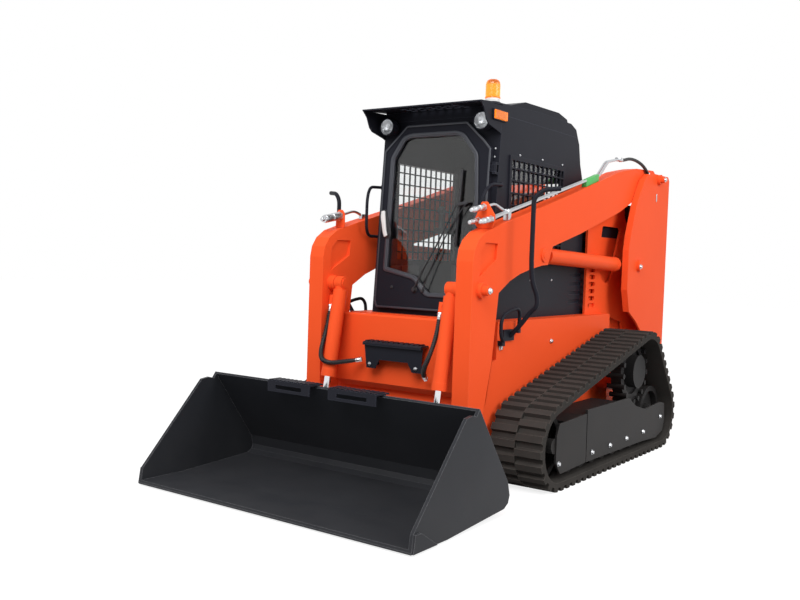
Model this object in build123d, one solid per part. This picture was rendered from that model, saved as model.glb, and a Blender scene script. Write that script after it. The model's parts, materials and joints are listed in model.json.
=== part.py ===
"""Compact track loader with a bucket, built as separate pieces.

Millimetres. +Z is up and the bucket end faces -Y, so +X is the machine's own left side.
The origin is on the ground, in the middle of the tracks' width and of the cab's.
Outlines of the side view are lists of (y, z) points.
"""
from build123d import *
from math import asin, atan2, cos, degrees, hypot, radians, sin, tan
import os

# Fits
SEAT_GAP = 0.3
RUNNING_GAP = 5.0
PIN_FIT = 0.05
SLIDE_FIT = 0.3

# Tracks and undercarriage
TRACK_OUTER_X = 930.0
TRACK_WIDTH = 340.0
SKIN = 28.0
LUG = 26.0
LUG_ROOT = 52.0
LUG_TIP = 36.0
LUG_COUNT = 64
FRONT_IDLER_R = 208.0
REAR_IDLER_R = 196.0
SPROCKET_R = 242.0
FRONT_IDLER_Y = -465.0
REAR_IDLER_Y = 1288.0
SPROCKET_YZ = (965.0, 583.0)
SPROCKET_TEETH = 17
ROLLER_R = 78.0
ROLLER_YS = (-160.0, 20.0, 190.0, 360.0, 530.0, 700.0, 870.0, 1030.0)
AXLE_R = 32.0
HUB_R = 62.0
WHEEL_RIM = 34.0
COVER_X = 900.0
COVER_THICKNESS = 12.0
BEAM_INNER_X = 632.0
BEAM_OUTER_X = 868.0
SKIRT = 12.0

# Chassis and towers
CHASSIS_X = 560.0
CHASSIS_TOP = 977.0
BELLY_Z = 228.0
BAY_X = 455.0
BAY_WALL = 18.0
BAY_TOP = 1548.0
REAR_Y = 1962.0
TOWER_OUTER_X = 650.0
TOWER_PLATE = 16.0
TOWER_INNER_X = 484.0
TOWER_REAR_Y = 1990.0
TOWER_PIN_YZ = (1744.0, 2029.0)
TOWER_PIN_R = 25.0
TOWER_FRONT_Y = 800.0
FLANGE = 12.0
OVAL = (110.0, 34.0)
OVAL_COUNT = 6
OVAL_Y = 905.0
OVAL_Z = 1040.0
OVAL_PITCH = 52.0
TIE_HOLE_YZ = (1900.0, 620.0)
TIE_HOLE_R = 26.0
OPENING_CORNER = 24.0
ARM_BOSS_R = 74.0
HOOD_THICKNESS = 46.0
DOOR_THICKNESS = 30.0
REAR_DOOR_X = 440.0
REAR_DOOR_Z = (560.0, 1530.0)

# Boom
ARM_INNER_X = 489.0
ARM_OUTER_X = 597.0
BUCKET_PIN_YZ = (-925.0, 245.0)
BUCKET_PIN_R = 30.0
LEG_BOSS_R = 62.0
TILT_PIN_YZ = (-895.0, 1169.0)
TILT_PIN_R = 28.0
TILT_X = 410.0
LIFT_BASE_YZ = (-118.0, 1388.0)
LIFT_ROD_YZ = (1383.0, 1341.0)
LIFT_PIN_R = 24.0
CROSS_Y = (-832.0, -772.0)
CROSS_Z = (560.0, 984.0)
STEP_X = (-205.0, 225.0)
STEP_TOP = 822.0
STEP_DEPTH = 92.0
STEP_TEETH = 11

# Lift and tilt cylinders
LIFT_BARREL_R = 52.0
LIFT_BORE_R = 42.0
LIFT_CHROME_R = 29.0
LIFT_EYE_R = 46.0
LIFT_EYE_WIDTH = 62.0
LIFT_GLAND_AT = 1290.0
LIFT_NECK = 132.0
LIFT_STROKE = 705.0
TILT_BARREL_R = 44.0
TILT_BORE_R = 34.0
TILT_CHROME_R = 22.0
TILT_EYE_R = 42.0
TILT_EYE_WIDTH = 56.0
TILT_GLAND_AT = 588.0
TILT_NECK = 46.0
TILT_STROKE = 345.0
TILT_REACH_LEFT = 215.0
PORT_AT = 95.0
PORT_OUT = 60.0
PORT_DROP = 46.0
PORT_R = 14.0

# Bucket
BUCKET_X = 940.0
BUCKET_SIDE = 18.0
ROD_PIN_YZ = (-1045.0, 320.0)
ROD_PIN_R = 24.0
COUPLER_EAR = 18.0
BUCKET_STEP_XS = ((-427.0, -112.0), (23.0, 350.0))
BUCKET_STEP_Y = (-1515.0, -1395.0)
BUCKET_STEP_Z = 612.0
BUCKET_STEP_TEETH = 10

# Cab
CAB_X = 440.0
CAB_WALL = 34.0
CAB_FLOOR = CHASSIS_TOP + SEAT_GAP
CAB_FRONT_Y = -525.0
CAB_TOP = 2230.0
FRONT_LEAN = 0.0684
WINDOW_Y = (-310.0, 430.0)
WINDOW_Z = (1330.0, 1975.0)
GLASS = 6.0
REAR_PANE_X = 290.0
REAR_PANE_Z = (1640.0, 1920.0)
CAB_DOOR_PANEL = 34.0
CAB_DOOR_PROUD = 3.0
DOOR_LAP = 32.0
HINGE_X = 426.0
HINGE_OUT = 22.0
HINGE_R = 7.0
HINGE_HALF = 22.0
HINGE_ZS = (1180.0, 1900.0)
REAR_HINGE_XY = (455.0, 2004.0)
REAR_HINGE_ZS = (760.0, 1380.0)
ROOF_UNIT_X = 330.0
ROOF_TOP = 2319.0
RAIL_ENDS = (1476.0, 1804.0)
RAIL_R = 10.0
RAIL_OUT = 455.0
LAMP_X = 354.0
LAMP_Z = 2186.0
LAMP_FACE_Y = -551.0
LAMP_R = 55.0
SHEET = 8.0
BEACON_XY = (355.0, -420.0)
BEACON_SEAT_Z = 2301.6


def profile(points):
    """Closed face of straight sides from (y, z) points, in the plane x = 0."""
    return Plane.YZ * make_face(Polyline(*points, close=True))


def side_plate(points, x0, x1):
    """Plate of the outline between two x planes."""
    return extrude(Pos(x0, 0, 0) * profile(points), amount=x1 - x0, dir=(1, 0, 0))


def block(xs, ys, zs):
    """Box between two x, two y and two z planes."""
    size = (xs[1] - xs[0], ys[1] - ys[0], zs[1] - zs[0])
    return Pos((xs[0] + xs[1]) / 2, (ys[0] + ys[1]) / 2, (zs[0] + zs[1]) / 2) * Box(*size)


def cross_pin(yz, radius, x0, x1):
    """Cylinder along X between two x planes, centred at (y, z)."""
    return Pos((x0 + x1) / 2, *yz) * Rot(0, 90, 0) * Cylinder(radius, abs(x1 - x0))


def bar(start, end, radius):
    """Cylinder from one point to another."""
    span = Vector(*end) - Vector(*start)
    plane = Plane(origin=start, z_dir=span)
    return plane * Cylinder(radius, span.length, align=(Align.CENTER, Align.CENTER, Align.MIN))


def corner_radii(points):
    """Largest allowed bend at each inner point: 0.45 of the shorter run over tan of half the turn."""
    spots = [Vector(*p) for p in points]
    radii = []
    for before, here, after in zip(spots, spots[1:], spots[2:]):
        turn = radians((here - before).get_angle(after - here))
        shorter = min((here - before).length, (after - here).length)
        radii.append(0.45 * shorter / tan(turn / 2))
    return radii


def bent_tube(points, radius):
    """Round bar along straight runs joined by tangent arcs."""
    path = FilletPolyline(*points, radius=corner_radii(points))
    section = Plane(origin=path @ 0, z_dir=path % 0) * Circle(radius)
    return sweep(section, path=path)


def one(*shapes):
    """The shapes fused into one part."""
    whole = shapes[0]
    for shape in shapes[1:]:
        whole = whole + shape
    return whole


def both_sides(part):
    """The part and its mirror image across the middle plane, as two solids."""
    return Compound([*part.solids(), *mirror(part, about=Plane.YZ).solids()])


def along(yz, towards, distance):
    """(y, z) point at a distance from yz on the way to another point."""
    length = hypot(towards[0] - yz[0], towards[1] - yz[1])
    return tuple(a + (b - a) * distance / length for a, b in zip(yz, towards))


# tracks


def idler_z(radius):
    """Height of a wheel that runs on the ground stretch of the belt."""
    return LUG + SKIN + radius


WHEELS = (
    (FRONT_IDLER_Y, idler_z(FRONT_IDLER_R), FRONT_IDLER_R),
    (REAR_IDLER_Y, idler_z(REAR_IDLER_R), REAR_IDLER_R),
    (SPROCKET_YZ[0], SPROCKET_YZ[1], SPROCKET_R),
)


def belt_wire(grow):
    """Belt drawn tight round the wheels, outside them by grow, counterclockwise from the ground run."""
    normals = []
    for (y0, z0, r0), (y1, z1, r1) in zip(WHEELS, WHEELS[1:] + WHEELS[:1]):
        lean = asin((r0 - r1) / hypot(y1 - y0, z1 - z0))
        normals.append(atan2(z1 - z0, y1 - y0) - radians(90) + lean)
    edges = []
    for i, (y, z, r) in enumerate(WHEELS):
        here = normals[i]
        before = normals[i - 1]
        sweep_angle = degrees(here - before) % 360
        edges.append(CenterArc((y, z), r + grow, degrees(before), sweep_angle))
        y1, z1, r1 = WHEELS[(i + 1) % len(WHEELS)]
        start = (y + (r + grow) * cos(here), z + (r + grow) * sin(here))
        end = (y1 + (r1 + grow) * cos(here), z1 + (r1 + grow) * sin(here))
        edges.append(Line(start, end))
    return Wire([edge.edge() for edge in edges])


def lug_outline(phase):
    """Belt's outside with a row of lugs, as straight sides, at an offset of phase in lug pitches."""
    skin = belt_wire(SKIN)
    points = []
    pitch = 1.0 / LUG_COUNT
    for i in range(LUG_COUNT):
        middle = (i + phase) * pitch
        for offset, height in ((-LUG_ROOT, 0), (-LUG_TIP, LUG), (LUG_TIP, LUG), (LUG_ROOT, 0)):
            at = (middle + offset / 2 / skin.length) % 1.0
            spot = skin.position_at(at)
            way = skin.tangent_at(at)
            points.append((spot.X + way.Y * height, spot.Y - way.X * height))
    return points


def track(side):
    """Rubber track: a loop with staggered lugs on its two halves."""
    inner = Plane.YZ * make_face(belt_wire(0))
    outer_x = TRACK_OUTER_X
    inner_x = TRACK_OUTER_X - TRACK_WIDTH
    middle_x = (outer_x + inner_x) / 2
    outer_half = side_plate(lug_outline(0.0), middle_x, outer_x)
    inner_half = side_plate(lug_outline(0.5), inner_x, middle_x)
    hollow = extrude(Pos(inner_x - 1, 0, 0) * inner, amount=TRACK_WIDTH + 2, dir=(1, 0, 0))
    return placed(one(outer_half, inner_half) - hollow, side)


def placed(part, side):
    """The part as drawn on +X, or mirrored for side -1."""
    return part if side > 0 else mirror(part, about=Plane.YZ)


def wheel(y, z, radius, half_width, x):
    """Idler with a sunken web, as a turned shape on an X axis."""
    outline = [
        (0, -half_width), (HUB_R, -half_width), (HUB_R, -half_width * 0.4),
        (radius - WHEEL_RIM, -half_width * 0.25), (radius - WHEEL_RIM, -half_width), (radius, -half_width),
        (radius, half_width), (radius - WHEEL_RIM, half_width), (radius - WHEEL_RIM, half_width * 0.25),
        (HUB_R, half_width * 0.4), (HUB_R, half_width), (0, half_width),
    ]
    turned = revolve(Plane.XZ * make_face(Polyline(*outline, close=True)), axis=Axis.Z)
    return Pos(x, y, z) * Rot(0, 90, 0) * turned


def wheels(side):
    """Idlers, sprocket and road rollers of one side."""
    middle = TRACK_OUTER_X - TRACK_WIDTH / 2
    gap = SEAT_GAP
    parts = [
        wheel(WHEELS[0][0], WHEELS[0][1], FRONT_IDLER_R - gap, 60, middle),
        wheel(WHEELS[1][0], WHEELS[1][1], REAR_IDLER_R - gap, 60, middle),
        sprocket(middle),
    ]
    for y in ROLLER_YS:
        roller = cross_pin((y, idler_z(ROLLER_R)), ROLLER_R - gap, middle - 85, middle + 85)
        waist = cross_pin((y, idler_z(ROLLER_R)), ROLLER_R + 1, middle - 32, middle + 32)
        core = cross_pin((y, idler_z(ROLLER_R)), ROLLER_R * 0.6, middle - 40, middle + 40)
        axle = cross_pin((y, idler_z(ROLLER_R)), 20, BEAM_INNER_X + SKIRT + SEAT_GAP,
                         COVER_X - COVER_THICKNESS - SEAT_GAP)
        parts.append(one(roller - waist, core, axle))
    whole = Compound([solid for part in parts for solid in part.solids()])
    return placed(whole, side)


def sprocket(x):
    """Drive sprocket: a toothed drum with a dished face and a hub motor's cap."""
    y, z = SPROCKET_YZ
    drum = cross_pin(SPROCKET_YZ, SPROCKET_R - 30, x - 38, x + 38)
    teeth = []
    for i in range(SPROCKET_TEETH):
        angle = 360 / SPROCKET_TEETH * i
        bar_end = Pos(SPROCKET_R - 24, 0, 0) * Cylinder(17, 130)
        teeth.append(Pos(x, y, z) * Rot(0, 90, 0) * Rot(0, 0, angle) * bar_end)
    dish = cross_pin(SPROCKET_YZ, SPROCKET_R - 75, x + 20, x + 39)
    cap = cross_pin(SPROCKET_YZ, 118, x + 18, x + 92)
    return one(drum - dish, cap, *teeth)


BEAM = [(-246, 236), (-246, 378), (-60, 398), (640, 404), (800, 332), (1000, 296), (1076, 285), (1076, 236)]
SKIRT_SIDE = [(-246, 237), (-246, 110), (1076, 110), (1076, 237)]
FRONT_COVER = [(-428, 392), (-42, 405), (-34, 100), (-399, 89), (-460, 159), (-462, 320)]
MAIN_COVER = [
    (-29, 429), (658, 431), (799, 360), (980, 318), (1290, 335), (1380, 317), (1398, 186),
    (1364, 114), (1218, 80), (910, 92), (-22, 100),
]


def track_frame(side):
    """Undercarriage: a beam inside the loop, the cover plates on it and the arms to the chassis."""
    beam = side_plate(BEAM, BEAM_INNER_X, BEAM_OUTER_X)
    cover_x = COVER_X - COVER_THICKNESS
    covers = one(side_plate(FRONT_COVER, cover_x, COVER_X), side_plate(MAIN_COVER, cover_x, COVER_X))
    webs = []
    for y in (-120, 330, 700):
        webs.append(block((BEAM_OUTER_X, cover_x), (y - 60, y + 60), (262, 330)))
    webs.append(cross_pin(WHEELS[0][:2], 44, WHEEL_FACE_X, cover_x))
    webs.append(cross_pin(WHEELS[1][:2], 44, WHEEL_FACE_X, cover_x))
    fork = side_plate([(-240, 240), (-470, 224), (-505, 262), (-470, 300), (-240, 340)],
                      BEAM_INNER_X, BEAM_INNER_X + 16)
    rear_fork = side_plate([(1040, 250), (1290, 214), (1330, 250), (1290, 290), (1040, 290)],
                           BEAM_INNER_X, BEAM_INNER_X + 16)
    skirt = side_plate(SKIRT_SIDE, BEAM_INNER_X, BEAM_INNER_X + SKIRT)
    hubs = [cross_pin(w[:2], 44, BEAM_INNER_X, TRACK_MIDDLE_X - 60 - SEAT_GAP) for w in WHEELS[:2]]
    arms = [block((CHASSIS_X, BEAM_INNER_X), ys, (250, 350)) for ys in ((-60, 90), (640, 790))]
    return placed(one(beam, covers, *webs, fork, rear_fork, skirt, *hubs, *arms), side)


TRACK_MIDDLE_X = TRACK_OUTER_X - TRACK_WIDTH / 2
WHEEL_FACE_X = TRACK_MIDDLE_X + 60 + SEAT_GAP


def final_drive(side):
    """Hub motor housing that carries the sprocket, on the chassis side."""
    return placed(cross_pin(SPROCKET_YZ, 150, CHASSIS_X, TRACK_MIDDLE_X - 38 - SEAT_GAP), side)


# chassis, towers and engine bay

TUB = [
    (-612, CHASSIS_TOP), (-618, 753), (-665, 745), (-719, 526), (-752, 448), (-740, 330), (-600, 228),
    (1084, BELLY_Z), (1084, CHASSIS_TOP),
]
BAY = [(1084, 228), (1500, 228), (1880, 400), (REAR_Y, 470), (REAR_Y, BAY_TOP), (900, BAY_TOP),
       (900, 977), (1084, 977)]


def chassis_tub():
    """Main frame: closed tub between the tracks and the engine bay behind it, open above and behind."""
    tub = side_plate(TUB, -CHASSIS_X, CHASSIS_X)
    bay = side_plate(BAY, -BAY_X, BAY_X)
    room = block((-BAY_X + BAY_WALL, BAY_X - BAY_WALL), (1084 + BAY_WALL, REAR_Y + 1), (486, BAY_TOP + 1))
    hood_room = block((-BAY_X + BAY_WALL, BAY_X - BAY_WALL), (918, 1200), (977, BAY_TOP + 1))
    drives = [final_drive(side) for side in (1, -1)]
    return one(tub, bay - room - hood_room, *drives, *rear_lugs())


TOWER_SIDE = [
    (TOWER_REAR_Y, 520), (TOWER_REAR_Y, 2040), (1960, 2070), (1653, 2068), (1543, 2057), (1442, 2002),
    (1299, 1801), (1205, 1571), (1179, 1458), (1179, 1160), (1235, 993), (1389, 912), (1482, 846),
    (1600, 780), (1640, 600), (1700, 520),
]
TOWER_EDGE = [
    (1235, 993), (1179, 1160), (1179, 1458), (1205, 1571), (1299, 1801), (1442, 2002), (1543, 2057),
]
TOWER_WEB = [
    (TOWER_REAR_Y, 470), (TOWER_REAR_Y, 2040), (1960, 2070), (1653, 2068), (1500, 2040), (1150, 1850),
    (TOWER_FRONT_Y, 1660), (TOWER_FRONT_Y, 977), (1084, 977), (1500, 900), (1600, 700), (1700, 470),
]
WEB_OPENING = [(1060, 1630), (1018, 1390), (1036, 1290), (1090, 1225), (1170, 1200), (1245, 1222),
               (1300, 1290), (1316, 1400), (1420, 1630)]
UPPER_OPENING = [(1480, 1860), (1480, 1730), (1510, 1690), (1560, 1672), (1780, 1672), (1780, 1860)]


def tower(side):
    """Rear upright: two plates with the boom's end between them, closed at the back."""
    plate_x = TOWER_OUTER_X - TOWER_PLATE
    flange_x = ARM_OUTER_X + RUNNING_GAP
    outer = side_plate(TOWER_SIDE, plate_x, TOWER_OUTER_X)
    edge_back = [(y + FLANGE, z) for y, z in reversed(TOWER_EDGE)]
    flange = side_plate(TOWER_EDGE + edge_back, flange_x, plate_x + 1)
    inner = side_plate(TOWER_WEB, TOWER_INNER_X - TOWER_PLATE, TOWER_INNER_X)
    for opening in (WEB_OPENING, UPPER_OPENING):
        hole = side_plate(opening, TOWER_INNER_X - TOWER_PLATE - 1, TOWER_INNER_X + 1)
        inner = inner - fillet(hole.edges().filter_by(Axis.X), OPENING_CORNER)
    for i in range(OVAL_COUNT):
        oval = Plane.YZ * Pos(OVAL_Y, OVAL_Z + OVAL_PITCH * i, TOWER_INNER_X) * SlotOverall(*OVAL)
        inner = inner - extrude(oval, TOWER_PLATE + 1, dir=(-1, 0, 0))
    width = (TOWER_INNER_X - 1, TOWER_OUTER_X - 1)
    rear = block(width, (TOWER_REAR_Y - TOWER_PLATE, TOWER_REAR_Y), (520, 2040))
    foot = block(width, (1700, TOWER_REAR_Y - 1), (520, 520 + TOWER_PLATE))
    base = block((BAY_X, TOWER_INNER_X - TOWER_PLATE + 1), (TOWER_FRONT_Y + 100, 1600), (979, 1060))
    bosses = []
    for yz, radius in ((TOWER_PIN_YZ, 40), (LIFT_ROD_YZ, 42)):
        bosses.append(cross_pin(yz, radius, TOWER_OUTER_X - 1, TOWER_OUTER_X + 22))
        bosses.append(cross_pin(yz, radius, ARM_OUTER_X + 8, plate_x + 1))
    pin = cross_pin(TOWER_PIN_YZ, TOWER_PIN_R, TOWER_INNER_X - 24, TOWER_OUTER_X + 50)
    tie_hole = cross_pin(TIE_HOLE_YZ, TIE_HOLE_R, plate_x - 1, TOWER_OUTER_X + 1)
    return placed(one(outer - tie_hole, flange, inner, rear, foot, base, *bosses, pin), side)


def engine_block():
    """Engine and pumps as one closed mass on the bay's floor."""
    return block((-300, 300), (1160, 1820), (486, 1330))


def engine_cover():
    """Raised hood over the bay, between the towers, with rows of air slots in its top."""
    low = BAY_TOP + SEAT_GAP
    hood = side_plate([(902, low), (REAR_Y, low), (REAR_Y, 1780), (1850, 1830), (1150, 1800), (902, 1660)],
                      -BAY_X, BAY_X)
    for i in range(8):
        y = 1170 + 85 * i
        hood = hood - block((-300, 300), (y, y + 36), (1740, 1900))
    return hood


def rear_door():
    """Rear door with a louvred grille, hinged at its +X edge."""
    y0 = REAR_Y + 2
    panel = block((-REAR_DOOR_X, REAR_DOOR_X), (y0, y0 + DOOR_THICKNESS), REAR_DOOR_Z)
    panel = panel - block((-REAR_DOOR_X + 30, REAR_DOOR_X - 30), (y0 - 1, y0 + DOOR_THICKNESS - 10),
                          (REAR_DOOR_Z[0] + 30, REAR_DOOR_Z[1] - 30))
    for i in range(11):
        z = 800 + 55 * i
        panel = panel - block((-300, 300), (y0 - 1, y0 + DOOR_THICKNESS + 1), (z, z + 28))
    latch = block((-400, -360), (y0 + DOOR_THICKNESS - 1, y0 + DOOR_THICKNESS + 14), (1010, 1110))
    hinge_x, hinge_y = REAR_HINGE_XY
    for z in REAR_HINGE_ZS:
        arm = block((REAR_DOOR_X - 30, hinge_x), (y0 + DOOR_THICKNESS - 6, hinge_y + 6),
                    (z - HINGE_HALF, z + HINGE_HALF))
        knuckle = arm + Pos(hinge_x, hinge_y, z) * Cylinder(HINGE_R + 5, 2 * HINGE_HALF)
        bore = Pos(hinge_x, hinge_y, z) * Cylinder(HINGE_R + PIN_FIT, 2 * HINGE_HALF + 2)
        panel = panel + (knuckle - bore)
    return one(panel, latch)


def rear_lugs():
    """Bay's half of the rear door hinges."""
    hinge_x, hinge_y = REAR_HINGE_XY
    lugs = []
    for z in REAR_HINGE_ZS:
        near, far = HINGE_HALF + SEAT_GAP, HINGE_HALF + 14
        for low, high in ((z - far, z - near), (z + near, z + far)):
            lugs.append(block((REAR_DOOR_X + 5, hinge_x + 11), (REAR_Y - 10, hinge_y + 11), (low, high)))
        lugs.append(Pos(hinge_x, hinge_y, z) * Cylinder(HINGE_R, 2 * far))
    return lugs


# boom

ARM = [
    (-985, 300), (-985, 1330), (-971, 1395), (-931, 1452), (-857, 1500), (-745, 1533), (-641, 1562),
    (-200, 1675), (382, 1832), (1068, 2027), (1263, 2062), (1405, 2085), (1744, 2103), (1744, 1955),
    (1412, 1855), (1103, 1736), (742, 1635), (412, 1543), (6, 1446), (-20, 1400), (-56, 1326),
    (-140, 1321), (-301, 1294), (-430, 1265), (-552, 1223), (-683, 1153), (-738, 744), (-800, 510),
    (-866, 300),
]
POCKET = [(-910, 1245), (-725, 1345), (-715, 1440), (-850, 1440), (-905, 1390)]


def arm_top(y):
    """Height of the arm's straight top edge at y."""
    for (y0, z0), (y1, z1) in zip(ARM, ARM[1:]):
        if y0 <= y <= y1 and y0 < y1:
            return z0 + (z1 - z0) * (y - y0) / (y1 - y0)
    return ARM[-1][1]


def boom_arm(side):
    """One lift arm: a box section from the tower pin down to the bucket pin."""
    middle = (ARM_INNER_X + ARM_OUTER_X) / 2
    arm = side_plate(ARM, ARM_INNER_X, ARM_OUTER_X)
    arm = arm + cross_pin(BUCKET_PIN_YZ, LEG_BOSS_R, ARM_INNER_X, ARM_OUTER_X)
    arm = arm + cross_pin(TOWER_PIN_YZ, ARM_BOSS_R, ARM_INNER_X, ARM_OUTER_X)
    hollow = LIFT_EYE_WIDTH / 2 + RUNNING_GAP / 2
    arm = arm - block((middle - hollow, middle + hollow), (-186, 60), (1300, 1446))
    arm = arm - cross_pin(TOWER_PIN_YZ, TOWER_PIN_R + PIN_FIT, ARM_INNER_X - 1, ARM_OUTER_X + 1)
    arm = arm - side_plate(POCKET, ARM_OUTER_X - 16, ARM_OUTER_X + 1)
    arm = arm - side_plate(POCKET, ARM_INNER_X - 1, ARM_INNER_X + 16)
    tilt_pin = cross_pin(TILT_PIN_YZ, TILT_PIN_R, TILT_X - TILT_EYE_WIDTH / 2 - 6, ARM_OUTER_X + 60)
    boss = cross_pin(TILT_PIN_YZ, 46, ARM_OUTER_X - 1, ARM_OUTER_X + 24)
    inner_boss = cross_pin(TILT_PIN_YZ, 46, TILT_X + TILT_EYE_WIDTH / 2 + 4, ARM_INNER_X + 1)
    lift_pin = cross_pin(LIFT_BASE_YZ, LIFT_PIN_R, ARM_INNER_X - 10, ARM_OUTER_X + 14)
    lift_boss = cross_pin(LIFT_BASE_YZ, 44, ARM_OUTER_X - 1, ARM_OUTER_X + 10)
    lower_pin = cross_pin(BUCKET_PIN_YZ, BUCKET_PIN_R, ARM_INNER_X - 30, ARM_OUTER_X + 30)
    return placed(one(arm, tilt_pin, boss, inner_boss, lift_pin, lift_boss, lower_pin), side)


def boom_cross():
    """Cross member between the arms: a folded box plate."""
    x = ARM_INNER_X
    fold = [(CROSS_Y[0], CROSS_Z[0]), (CROSS_Y[1], CROSS_Z[0] - 40), (CROSS_Y[1], CROSS_Z[1] - 20),
            (CROSS_Y[1] - 20, CROSS_Z[1]), (CROSS_Y[0] + 10, CROSS_Z[1]), (CROSS_Y[0], CROSS_Z[1] - 10)]
    return side_plate(fold, -x, x)


def front_step():
    """Step: a toothed tread over a front plate whose two feet are bolted to the cross member."""
    back = CROSS_Y[0]
    front = back - STEP_DEPTH
    x0, x1 = STEP_X
    under = STEP_TOP - SHEET
    tread = side_plate([(front, STEP_TOP - 22), (front, under), (front + 10, STEP_TOP), (back - 8, STEP_TOP),
                        (back - 8, under), (front + 14, under), (front + 26, STEP_TOP - 22)], x0, x1)
    plate_y = front + 20
    lower = STEP_TOP - 162
    outline = [
        (x0, STEP_TOP - 20), (x1, STEP_TOP - 20), (x1 - 8, lower), (x1 - 70, lower), (x1 - 105, lower + 55),
        (x0 + 115, lower + 55), (x0 + 85, lower), (x0 + 20, lower),
    ]
    face = Plane.XZ * make_face(Polyline(*outline, close=True))
    plate = extrude(Pos(0, plate_y, 0) * face, amount=SHEET, dir=(0, 1, 0))
    spacers = []
    for x in (x0 + 50, x1 - 40):
        spacers.append(bar((x, plate_y + 7, lower + 24), (x, back - SEAT_GAP, lower + 24), 13))
    teeth = []
    for i in range(STEP_TEETH):
        x = x0 + 8 + (x1 - x0 - 16) * i / STEP_TEETH
        teeth.append(block((x, x + 20), (front + 12, back - 10), (STEP_TOP - 1, STEP_TOP + 7)))
    return one(tread, plate, *spacers, *teeth)


# Cylinders


def cylinder_frame(base, tip, x):
    """Plane at the base eye whose Z runs to the tip eye and whose X is the machine's X."""
    return Plane(origin=(x, *base), x_dir=(1, 0, 0), z_dir=(0, tip[0] - base[0], tip[1] - base[1]))


def upright(radius, z0, z1):
    """Cylinder on the local Z axis between two heights."""
    return Pos(0, 0, z0) * Cylinder(radius, z1 - z0, align=(Align.CENTER, Align.CENTER, Align.MIN))


def barrel(frame, eye_r, eye_width, pin_r, neck_at, barrel_r, bore_r, rod_r, gland_at):
    """Cylinder barrel with its base eye and a gland that guides the rod."""
    eye = Rot(0, 90, 0) * Cylinder(eye_r, eye_width)
    neck = upright(eye_r * 0.8, 0, neck_at + 4) & Box(eye_width, 900, 900)
    tube = upright(barrel_r, neck_at, gland_at) - upright(bore_r, neck_at + 30, gland_at - 40)
    gland = upright(barrel_r + 2, gland_at - 46, gland_at) - upright(bore_r, gland_at - 47, gland_at - 40)
    whole = one(eye, neck, tube, gland)
    whole = whole - Rot(0, 90, 0) * Cylinder(pin_r + PIN_FIT, eye_width + 2)
    whole = whole - upright(rod_r + SLIDE_FIT, gland_at - 41, gland_at + 1)
    return frame * whole


def piston_rod(frame, eye_r, eye_width, pin_r, bore_r, rod_r, length, piston_at):
    """Chrome rod with its piston inside the barrel and its eye at the tip."""
    eye = Pos(0, 0, length) * Rot(0, 90, 0) * Cylinder(eye_r, eye_width)
    rod = upright(rod_r, piston_at, length - eye_r + 6)
    piston = upright(bore_r - SLIDE_FIT, piston_at, piston_at + 36)
    bore = Pos(0, 0, length) * Rot(0, 90, 0) * Cylinder(pin_r, eye_width + 2)
    return frame * (one(rod, piston, eye) - bore)


def lift_cylinder(side):
    """Barrel and rod of one lift cylinder, closed when the boom is down."""
    middle = (ARM_INNER_X + ARM_OUTER_X) / 2
    frame = cylinder_frame(LIFT_BASE_YZ, LIFT_ROD_YZ, middle)
    length = hypot(LIFT_ROD_YZ[0] - LIFT_BASE_YZ[0], LIFT_ROD_YZ[1] - LIFT_BASE_YZ[1])
    body = barrel(frame, LIFT_EYE_R, LIFT_EYE_WIDTH, LIFT_PIN_R, LIFT_NECK, LIFT_BARREL_R,
                  LIFT_BORE_R, LIFT_CHROME_R, LIFT_GLAND_AT)
    piston_at = LIFT_GLAND_AT - 40 - 36 - LIFT_STROKE - 4
    rod = piston_rod(frame, LIFT_EYE_R, LIFT_EYE_WIDTH, LIFT_PIN_R, LIFT_BORE_R, LIFT_CHROME_R,
                     length, piston_at)
    pin = cross_pin(LIFT_ROD_YZ, LIFT_PIN_R, ARM_INNER_X + 3, ARM_OUTER_X - 3)
    return placed(body, side), placed(one(rod, pin), side)


def tilt_cylinder(side):
    """Barrel and rod of one tilt cylinder, partly out with the bucket flat on the ground."""
    frame = cylinder_frame(TILT_PIN_YZ, ROD_PIN_YZ, TILT_X)
    length = hypot(ROD_PIN_YZ[0] - TILT_PIN_YZ[0], ROD_PIN_YZ[1] - TILT_PIN_YZ[1])
    body = barrel(frame, TILT_EYE_R, TILT_EYE_WIDTH, TILT_PIN_R, TILT_NECK, TILT_BARREL_R,
                  TILT_BORE_R, TILT_CHROME_R, TILT_GLAND_AT)
    out = -side * PORT_OUT
    nipple = Pos(out / 2, 0, PORT_AT) * Rot(0, 90, 0) * Cylinder(PORT_R - 1, PORT_OUT - 2)
    nipple = nipple - upright(TILT_BARREL_R - 4, 0, PORT_AT * 2)
    spout = Pos(out, 0, 0) * upright(PORT_R, PORT_AT - PORT_R, PORT_AT + PORT_DROP)
    body = one(body, frame * nipple, frame * spout)
    piston_at = TILT_GLAND_AT - 40 - 36 - TILT_REACH_LEFT - 4
    rod = piston_rod(frame, TILT_EYE_R - 8, TILT_EYE_WIDTH - 6, ROD_PIN_R, TILT_BORE_R, TILT_CHROME_R,
                     length, piston_at)
    pin = cross_pin(ROD_PIN_YZ, ROD_PIN_R, TILT_X - 26, TILT_X + 26)
    return placed(body, side), placed(one(rod, pin), side)


# bucket

BUCKET_SIDE_OUTLINE = [
    (-2005, 10), (-1990, 101), (-1563, 569), (-1507, 577), (-1468, 567), (-1441, 603), (-1354, 487),
    (-1120, 180), (-1096, 106), (-1110, 66), (-1152, 43), (-1289, 35), (-1700, 10),
]
BUCKET_ROOM = [
    (-2100, 32), (-1700, 32), (-1289, 55), (-1165, 62), (-1130, 82), (-1118, 110), (-1136, 172),
    (-1232, 302), (-1370, 487), (-1463, 610), (-1600, 760), (-2100, 760),
]
BACK_LINE = ((-1120, 180), (-1354, 487))
EDGE_LINE = ((-1354, 487), (-1441, 603))


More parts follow.
